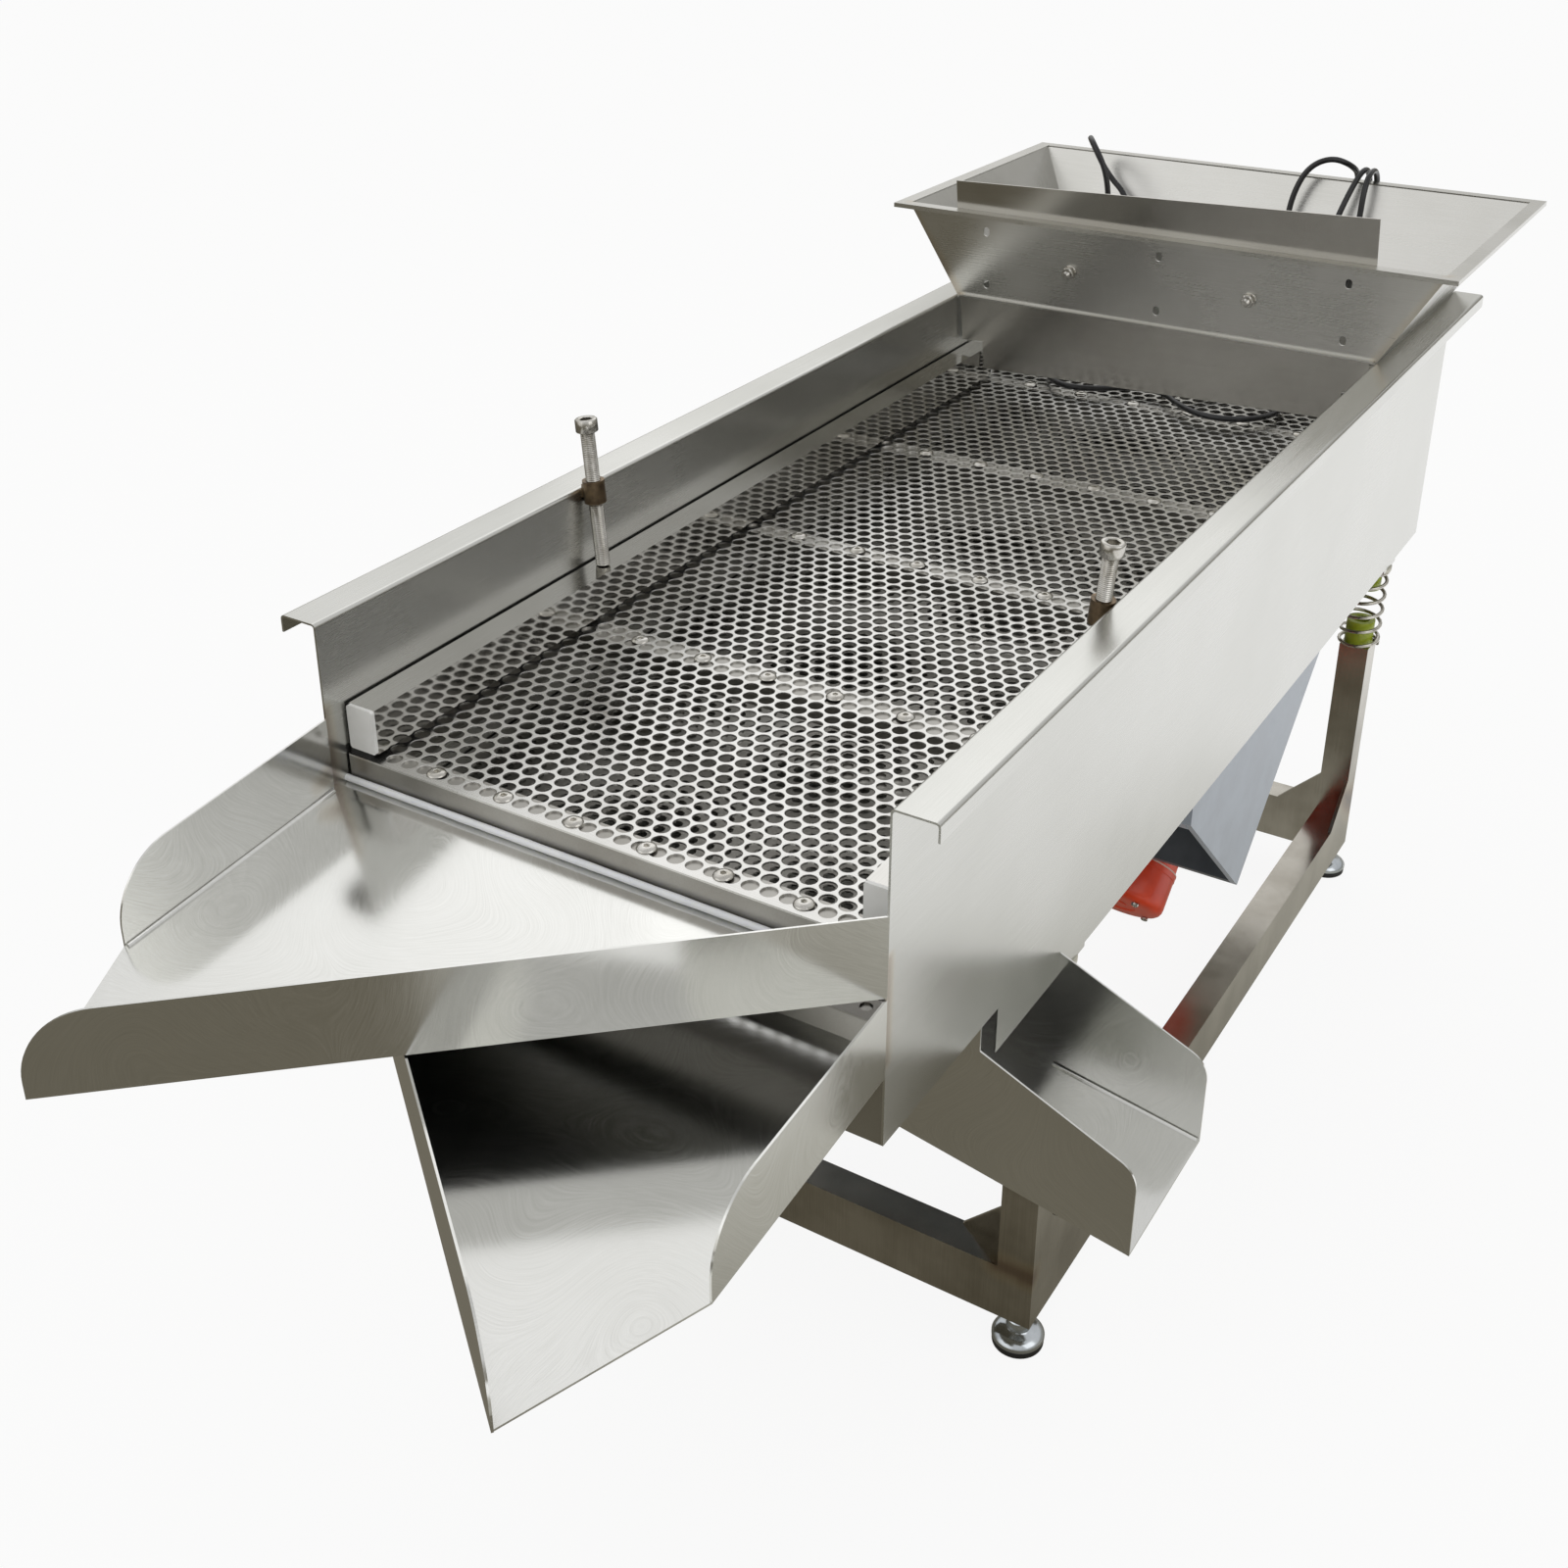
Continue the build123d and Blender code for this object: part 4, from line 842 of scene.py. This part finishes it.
LEFT_ROUTE: tuple[Point, ...] = (
    (-55, 1139.62, -592.91), (-55, 1173.07, -562.8), (-50, 1250, -556), (-30, 1352, -534),
    (14, 1455, -504), (64, 1560, -472), (106, 1655, -436), (128, 1712, -372), (134, 1722, -270),
    (135, 1722, -160), (135, 1732, -50), (135, 1756, 50), (135, 1768, 126), (134, 1726, 150),
    (124, 1690, 112), (113, 1668, 62), (109, 1654, -12), (47, 1654, -12), (42, 1676, 70),
    (46, 1686, 112), (60, 1698, 146), (88, 1710, 160), (114, 1728, 149), (118, 1768, 126),
    (115, 1760, 50), (112, 1750, -40), (110, 1746, -120))
RIGHT_ROUTE: tuple[Point, ...] = (
    (55, 1139.62, -592.91), (55, 1173.07, -562.8), (50, 1250, -558), (70, 1352, -540),
    (100, 1455, -512), (130, 1560, -478), (148, 1655, -440), (153, 1712, -372), (153, 1722, -270),
    (152, 1722, -160), (150, 1732, -50), (148, 1756, 50), (147, 1760, 142), (147, 1693, 145),
    (149, 1674, 60), (146, 1645, -30), (130, 1630, -90), (88, 1612, -118), (24, 1604, -122),
    (-50, 1606, -122), (-120, 1622, -119), (-166, 1640, -84), (-186, 1648, -16), (-206, 1672, 70),
    (-252, 1682, 104), (-280, 1675, 156), (-250, 1607, 170), (-216, 1603, 118), (-208, 1594, 40),
    (-206, 1562, -60), (-204, 1500, -108), (-204, 1424, -120), (-190, 1356, -120), (-154, 1314, -120),
    (-102, 1320, -120), (-62, 1362, -121), (-12, 1366, -121), (26, 1322, -120), (72, 1294, -120),
    (126, 1306, -120), (156, 1354, -120), (150, 1412, -121), (104, 1444, -122), (52, 1430, -121),
    (26, 1386, -120))


@dataclass
class ScreenDeck:
    """Punched plate of one deck, with holes in staggered rows at 60 degrees."""

    node: str
    hole_mm: float
    sides: int
    pitch_mm: float = 19.0
    first_row_mm: float = 14.9
    sheet_mm: float = 2.0
    outer_column_mm: float = -271.0
    columns: int = 29
    roll_mm: float = 0.3

    def build(self) -> None:
        """Make the punched plate in place of the frame's coarse one."""
        low, high = box_mm(self.node)
        slope = (high.z - low.z - self.sheet_mm) / (high.y - low.y)
        row_pitch = self.pitch_mm * math.sin(math.radians(60))
        rows = int((high.y - low.y - 2 * (self.first_row_mm - row_pitch / 2)) / row_pitch)
        cell = self.cell(self.pitch_mm / 2, row_pitch / 2)
        plate = Shape()
        y_start = low.y + self.first_row_mm - row_pitch / 2
        for row in range(rows):
            y = y_start + (row + 0.5) * row_pitch
            x0 = self.outer_column_mm + (row % 2) * self.pitch_mm / 2
            for column in range(self.columns):
                plate.add(cell, Matrix.Translation((x0 + column * self.pitch_mm, y, 0)))
            left, right = x0 - self.pitch_mm / 2, x0 + (self.columns - 0.5) * self.pitch_mm
            self.strip(plate, low.x, left, y - row_pitch / 2, y + row_pitch / 2)
            self.strip(plate, right, high.x, y - row_pitch / 2, y + row_pitch / 2)
        self.strip(plate, low.x, high.x, low.y, y_start)
        self.strip(plate, low.x, high.x, y_start + rows * row_pitch, high.y)
        self.rim(plate, low.x, high.x, low.y, high.y)
        top = low.z + self.sheet_mm
        plate.points = [(x, y, z + top + (y - low.y) * slope) for x, y, z in plate.points]
        finish = PUNCHED_SHEET if self.node.startswith("upper") else LOWER_SHEET
        piece(self.node.replace("plate", "punched"), plate, finish, "trough", [self.node])

    def cell(self, half_x: float, half_y: float) -> Shape:
        """Make one hole and the rectangle of plate round it.

        Args:
            half_x: half the rectangle's width.
            half_y: half its length.

        Returns:
            The cell about the origin, its top at z = 0.
        """
        n, t = self.sides, self.sheet_mm
        corners = [(half_x, -half_y), (half_x, half_y), (-half_x, half_y), (-half_x, -half_y)]
        radius, roll = self.hole_mm / 2, self.roll_mm
        rings = ((radius + roll / 2, 0.0), (radius - roll / 2, -roll), (radius - roll / 2, -t))
        shape = Shape([(x, y, 0.0) for x, y in corners] + [(x, y, -t) for x, y in corners])
        for radius, z in rings:
            for i in range(n):
                a = 2 * math.pi * i / n
                shape.points.append((radius * math.cos(a), radius * math.sin(a), z))
        top, edge, foot = 8, 8 + n, 8 + 2 * n
        eighth = n // 8
        for quarter in range(4):
            arc = [(eighth - k + quarter * n // 4) % n for k in range(n // 4 + 1)]
            a, b = quarter, (quarter + 1) % 4
            shape.faces.append((a, b, *(top + k for k in arc)))
            shape.faces.append((*(foot + k for k in reversed(arc)), 4 + b, 4 + a))
        for i in range(n):
            j = (i + 1) % n
            shape.faces.append((top + i, edge + i, edge + j, top + j))
            shape.faces.append((edge + i, foot + i, foot + j, edge + j))
        return shape

    def corners(self, plate: Shape, x0: float, x1: float, y0: float, y1: float) -> int:
        """Add the eight corners of a rectangle of sheet and return the first one's number."""
        base = len(plate.points)
        for z in (0.0, -self.sheet_mm):
            plate.points.extend((x, y, z) for x, y in ((x0, y0), (x1, y0), (x1, y1), (x0, y1)))
        return base

    def strip(self, plate: Shape, x0: float, x1: float, y0: float, y1: float) -> None:
        """Add a plain strip of sheet, top and bottom, to the plate."""
        base = self.corners(plate, x0, x1, y0, y1)
        plate.faces.append((base, base + 1, base + 2, base + 3))
        plate.faces.append((base + 7, base + 6, base + 5, base + 4))

    def rim(self, plate: Shape, x0: float, x1: float, y0: float, y1: float) -> None:
        """Add the four cut edges of the sheet."""
        base = self.corners(plate, x0, x1, y0, y1)
        for i in range(4):
            j = (i + 1) % 4
            plate.faces.append((base + i, base + 4 + i, base + 4 + j, base + j))


@dataclass
class DeckScrews:
    """Low domed screws that hold the upper plate to its frame."""

    rows: int = 6
    across_mm: tuple[float, ...] = (-200.0, -120.0, -40.0, 40.0, 120.0, 200.0)
    head_mm: float = 19.0
    height_mm: float = 3.2
    sheet_mm: float = 2.0

    def build(self) -> None:
        """Make all the screws as one piece."""
        low, high = box_mm("upper_screen_screws")
        plate_low, plate_high = box_mm("upper_screen_plate")
        slope = (plate_high.z - plate_low.z - self.sheet_mm) / (plate_high.y - plate_low.y)
        r, h = self.head_mm / 2, self.height_mm
        head = lathe([(0, -1.5), (r * 0.6, -1.5), (r * 0.98, 0), (r, 0.3), (r * 0.93, 0.45 * h),
                      (r * 0.78, 0.74 * h), (r * 0.55, 0.93 * h), (r * 0.36, h), (r * 0.30, h * 0.9, 6),
                      (r * 0.30, h * 0.35, 6), (0, h * 0.3)], 36)
        screws = Shape()
        for row in range(self.rows):
            y = low.y + r + row * (high.y - low.y - 2 * r) / (self.rows - 1)
            z = plate_low.z + self.sheet_mm + (y - plate_low.y) * slope
            for x in self.across_mm:
                screws.add(head, Matrix.Translation((x, y, z)))
        piece("deck_screw_heads", screws, FASTENER, "trough", ["upper_screen_screws"])


@dataclass
class ClampScrew:
    """Cap head screw that presses a clamp bar down, leaning 5 degrees outwards."""

    side: str
    foot: Point
    length: float
    lean_deg: float = 5.0
    thread: float = 16.0
    head: float = 24.0
    head_height: float = 14.0

    def build(self) -> None:
        """Make the threaded shank and the knurled head."""
        sign = -1 if self.side == "left" else 1
        lean = math.radians(self.lean_deg)
        way = Vector((sign * math.sin(lean), 0, math.cos(lean)))
        place = aim(self.foot, way)
        shank = self.length - self.head_height
        screw = Shape().add(threaded_rod(self.thread / 2, shank + 0.5, 2.0, 1.1), place)
        screw.add(socket_head(self.head / 2, self.head_height, 7.0),
                  place @ Matrix.Translation((0, 0, shank)))
        piece(f"clamp_screw_{self.side}_threaded", screw, FASTENER,
              f"clamp_screw_{self.side}_body", [f"clamp_screw_{self.side}"], sharp_deg=50)


@dataclass
class CoilSpring:
    """Compression spring on its two cups, with flat end turns."""

    node: str
    wire_mm: float = 5.4
    turns: float = 6.5
    steps: int = 22

    def build(self) -> None:
        """Sweep the wire between the base and the trough, fixed in place."""
        low, high = box_mm(self.node)
        middle = (low + high) / 2
        radius = (high.x - low.x - self.wire_mm) / 2
        start, end = low.z + self.wire_mm / 2, high.z - self.wire_mm / 2
        count = int(self.turns * self.steps)
        flat = self.steps * 0.75
        path = []
        for i in range(count + 1):
            angle = 2 * math.pi * i / self.steps
            share = min(max((i - flat) / (count - 2 * flat), 0), 1)
            path.append(Vector((middle.x + radius * math.cos(angle), middle.y + radius * math.sin(angle),
                                start + (end - start) * share)))
        coil = tube(path, self.wire_mm / 2, 12)
        piece(f"{self.node}_coil", coil, SPRING_WIRE, "base_frame", [self.node],
              blend=("trough", at(middle.x, middle.y, low.z), at(middle.x, middle.y, high.z)))


@dataclass
class MotorEnds:
    """Rounded end covers of one motor, with the gasket and the screws that hold them."""

    side: str
    across_mm: float
    radius: float = 62.0
    cover_mm: float = 62.0
    body_mm: tuple[float, float] = (8.0, 176.0)
    lean_deg: float = 42.0
    vertex: tuple[float, float] = (977.0, -629.0)
    axis_mm: float = 82.0

    def build(self) -> None:
        """Make both covers, their gaskets and their screws."""
        covers, gaskets, screws = Shape(), Shape(), Shape()
        lean = math.radians(self.lean_deg)
        along = Vector((0, math.cos(lean), math.sin(lean)))
        foot = Vector((self.across_mm, self.vertex[0], self.vertex[1]))
        foot += Vector((0, math.sin(lean), -math.cos(lean))) * self.axis_mm
        r, c = self.radius, self.cover_mm
        shell = lathe([(r - 4, 4), (r - 4, 0.5), (r, 0.5), (r, 8), (r - 0.8, 9), (r - 0.8, c - 14),
                       (r - 1.4, c - 9), (r - 3.4, c - 5), (r - 6.8, c - 2.2), (r - 12, c - 0.6), (r - 20, c),
                       (26, c), (24, c - 1.4), (14, c - 1.4), (12.6, c - 0.2), (0, c - 0.2)], 72)
        ring = lathe([(r - 5, -1.6), (r + 0.2, -1.6), (r + 0.4, -0.6), (r + 0.4, 0.6), (r - 5, 0.6)], 72)
        for start, way in ((self.body_mm[0], -along), (self.body_mm[1], along)):
            place = aim(foot + along * start, way)
            covers.add(shell, place)
            gaskets.add(ring, place)
            for turn in range(4):
                angle = math.radians(45 + 90 * turn)
                spot = Matrix.Translation(((r - 15) * math.cos(angle), (r - 15) * math.sin(angle), c - 0.3))
                screws.add(socket_head(5.0, 4.6, 2.6), place @ spot)
        piece(f"motor_ends_{self.side}", covers, MOTOR_ENAMEL, "trough",
              [f"motor_covers_{self.side}"])
        piece(f"motor_gaskets_{self.side}", gaskets, GASKET, "trough")
        piece(f"motor_end_screws_{self.side}", screws, FASTENER, "trough")


@dataclass
class ChuteBend:
    """Rounded inside corner between a chute's floor and its wall, a band that catches the light."""

    name: str
    start: Point
    run_mm: float
    way: Point
    off_wall: Point
    slope_deg: float
    radius: float = 4.5
    steps: int = 8

    def build(self) -> None:
        """Make the band between the floor and the wall."""
        shape = Shape()
        floor, wall = Vector(self.off_wall), Vector((0.0, 0.0, 1.0))
        drop = math.tan(math.radians(self.slope_deg))
        for reach in (0.0, self.run_mm):
            corner = Vector(self.start) + (Vector(self.way) - wall * drop) * reach
            middle = corner + (floor + wall) * self.radius
            shape.points.append(tuple(corner))
            for i in range(self.steps + 1):
                angle = math.pi / 2 * i / self.steps
                spot = middle - (wall * math.cos(angle) + floor * math.sin(angle)) * self.radius
                shape.points.append(tuple(spot))
        count = self.steps + 2
        for i in range(count):
            j = (i + 1) % count
            shape.faces.append((i, j, count + j, count + i))
        shape.faces.append(tuple(reversed(range(count))))
        shape.faces.append(tuple(range(count, 2 * count)))
        piece(self.name, shape, CHUTE_SHEET, "trough", sharp_deg=50)


@dataclass
class LevellingFoot:
    """Threaded stem with its lock nut, a domed steel disc and a rubber pad."""

    corner: str
    pad_mm: float = 8.0
    disc_mm: float = 11.0
    neck_mm: float = 16.0
    nut_mm: float = 24.0
    nut_height_mm: float = 11.0
    thread_mm: float = 16.0

    def build(self) -> None:
        """Make the steel and the rubber of the foot as two pieces."""
        node, body = f"foot_{self.corner}", f"levelling_foot_{self.corner}"
        low, high = box_mm(node)
        middle = (low + high) / 2
        rim = (high.x - low.x) / 2
        place = Matrix.Translation((middle.x, middle.y, low.z))
        p, d = self.pad_mm, self.disc_mm
        top = p + d + self.neck_mm
        r = self.thread_mm / 2
        steel = lathe([(0, p), (rim - 1.0, p), (rim, p + 1.2), (rim, p + 4.6), (rim * 0.985, p + 5.6),
                       (rim * 0.93, p + d - 3.2), (rim * 0.84, p + d - 0.8), (rim * 0.70, p + d + 1.0),
                       (rim * 0.52, p + d + 2.6), (rim * 0.46, p + d + 4.0), (rim * 0.43, top - 1.0),
                       (rim * 0.40, top), (r, top)], 64)
        steel.add(hex_nut(self.nut_mm * 0.95, self.nut_height_mm), Matrix.Translation((0, 0, top)))
        steel.add(threaded_rod(r, high.z - low.z - top, 2.0, 1.1), Matrix.Translation((0, 0, top)))
        pad = lathe([(0, 0), (rim - 1.6, 0), (rim - 0.7, 0.8), (rim - 0.5, 2.0), (rim - 0.5, p - 0.6),
                     (rim - 1.2, p), (0, p)], 64)
        piece(f"{node}_steel", Shape().add(steel, place), ZINC_PLATE, body, [node])
        piece(f"{node}_pad", Shape().add(pad, place), RUBBER, body, [node])


@dataclass
class GateBolts:
    """Two bolts that hold the feed gate against the hopper's front wall."""

    across_mm: float = 127.0
    origin_y: float = 1270.39
    height: float = 58.0
    way: Point = (0.0, -0.99537, -0.09613)

    def build(self) -> None:
        """Make washer, nut and threaded end in front, and the head behind."""
        bolts = Shape()
        for x in (-self.across_mm, self.across_mm):
            place = aim((x, self.origin_y, self.height), self.way)
            bolts.add(lathe([(5, 0), (9.6, 0), (10, 0.4), (10, 1.6), (9.6, 2.0), (5, 2.0)], 40), place)
            bolts.add(hex_nut(15.6, 8.0), place @ Matrix.Translation((0, 0, 2)))
            bolts.add(threaded_rod(4.9, 8.0, 1.5, 0.8), place @ Matrix.Translation((0, 0, 10)))
            bolts.add(hex_nut(15.6, 6.0), place @ Matrix.Translation((0, 0, -10.8)))
            bolts.add(lathe([(4.9, -5), (4.9, 0.5)], 32), place)
        piece("gate_bolts_turned", bolts, FASTENER, "trough", ["gate_bolts"])


@dataclass
class SealantBead:
    """Hand run bead of white silicone between a deck's front edge and the chute."""

    node: str = "chute_seal"
    radius: float = 3.9

    def build(self) -> None:
        """Sweep a slightly uneven bead along the joint."""
        low, high = box_mm(self.node)
        middle = (low + high) / 2
        path, radii = [], []
        count = 90
        for i in range(count + 1):
            x = low.x + (high.x - low.x) * i / count
            wobble = noise.noise(Vector((x * 0.03, 0.0, 7.0)))
            path.append(Vector((x, middle.y, middle.z)))
            radii.append(self.radius * (0.88 + 0.12 * wobble))
        piece("silicone_bead", tube(path, radii, 14), SILICONE, "trough", [self.node])


@dataclass
class FrameSurfaces:
    """Finishes of the frame's own nodes, by the start of their names."""

    finishes: tuple[tuple[str, Metal | Coating], ...] = (
        ("side_plate", TROUGH_SHEET), ("rear_plate", TROUGH_SHEET), ("front_pan", PAN_SHEET),
        ("rear_pan", PAN_SHEET), ("upper_chute", CHUTE_SHEET), ("middle_chute", CHUTE_SHEET),
        ("cross_chute", CHUTE_SHEET), ("chute_seal", SILICONE), ("deck_ledges", DECK_STEEL),
        ("upper_screen_plate", PUNCHED_SHEET), ("upper_screen_screws", FASTENER),
        ("upper_screen_frame", DECK_STEEL), ("lower_screen", DECK_STEEL),
        ("clamp_bosses", WELDED_BOSS), ("clamp_bar_plugs", NYLON_WHITE), ("clamp_bar_rubber", RUBBER),
        ("clamp_bar", BAR_STEEL), ("clamp_screw", FASTENER), ("hopper", HOPPER_SHEET),
        ("gate_bolts", FASTENER), ("feed_gate", GATE_SHEET), ("motor_bracket_sides", BRACKET_PAINT),
        ("motor_mount_plate", BRACKET_SHADE_PAINT), ("bracket_front_beam", BRACKET_PAINT),
        ("motor_rotor", FASTENER), ("motor_bolts", ZINC_PLATE), ("motor_", MOTOR_ENAMEL),
        ("cable_glands", NYLON_BLACK), ("cable_", CABLE_SHEATH), ("spring_brackets", TROUGH_SHEET),
        ("spring_", SPRING_WIRE), ("upper_spring_cups", URETHANE), ("lower_spring_cups", URETHANE),
        ("post_", TUBE_STEEL), ("rail_", TUBE_STEEL), ("corner_gussets", TUBE_STEEL),
        ("foot_", ZINC_PLATE))

    def build(self) -> None:
        """Dress every node of the frame."""
        for name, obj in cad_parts.items():
            finish = next(f for start, f in self.finishes if name.startswith(start))
            obj.data.materials.clear()
            obj.data.materials.append(finish.build())
            obj.data.polygons.foreach_set("material_index", [0] * len(obj.data.polygons))
        self.paint_spring_seats()

    def paint_spring_seats(self, disc_mm: float = 5.0) -> None:
        """Give the flat discs on top of the upper cups their ivory paint."""
        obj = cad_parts["upper_spring_cups"]
        obj.data.materials.append(IVORY_PAINT.build())
        top = max(vertex.co.z for vertex in obj.data.vertices)
        for face in obj.data.polygons:
            if all(obj.data.vertices[i].co.z > top - (disc_mm + 0.1) * MM for i in face.vertices):
                face.material_index = 1


def main() -> None:
    """Build the studio and every sub-assembly in order."""
    logging.basicConfig(level=logging.INFO, format="%(name)s %(message)s")
    Studio().build()
    MotorCable("left", 1.938, LEFT_ROUTE).build()
    MotorCable("right", 3.192, RIGHT_ROUTE).build()
    FrameSurfaces().build()
    ScreenDeck("upper_screen_plate", 16.0, 16).build()
    ScreenDeck("lower_screen_plate", 12.0, 8).build()
    DeckScrews().build()
    ClampScrew("left", (-279.0, 402.0, -87.05), 165.0).build()
    ClampScrew("right", (279.0, 430.0, -86.8), 147.0).build()
    for corner in ("front_left", "front_right", "rear_left", "rear_right"):
        CoilSpring(f"spring_{corner}").build()
        LevellingFoot(corner).build()
    for side, across in (("left", -125.0), ("right", 125.0)):
        MotorEnds(side, across).build()
    ChuteBend("upper_chute_bend", (-298, -1, -173.85), 249.0, way=(0, -1, 0), off_wall=(1, 0, 0),
              slope_deg=UPPER_CHUTE_SLOPE_DEG).build()
    ChuteBend("cross_chute_bend", (302, 358, -487.9), 155.0, way=(1, 0, 0), off_wall=(0, -1, 0),
              slope_deg=CROSS_CHUTE_SLOPE_DEG).build()
    GateBolts().build()
    SealantBead().build()


if __name__ == "__main__":
    main()
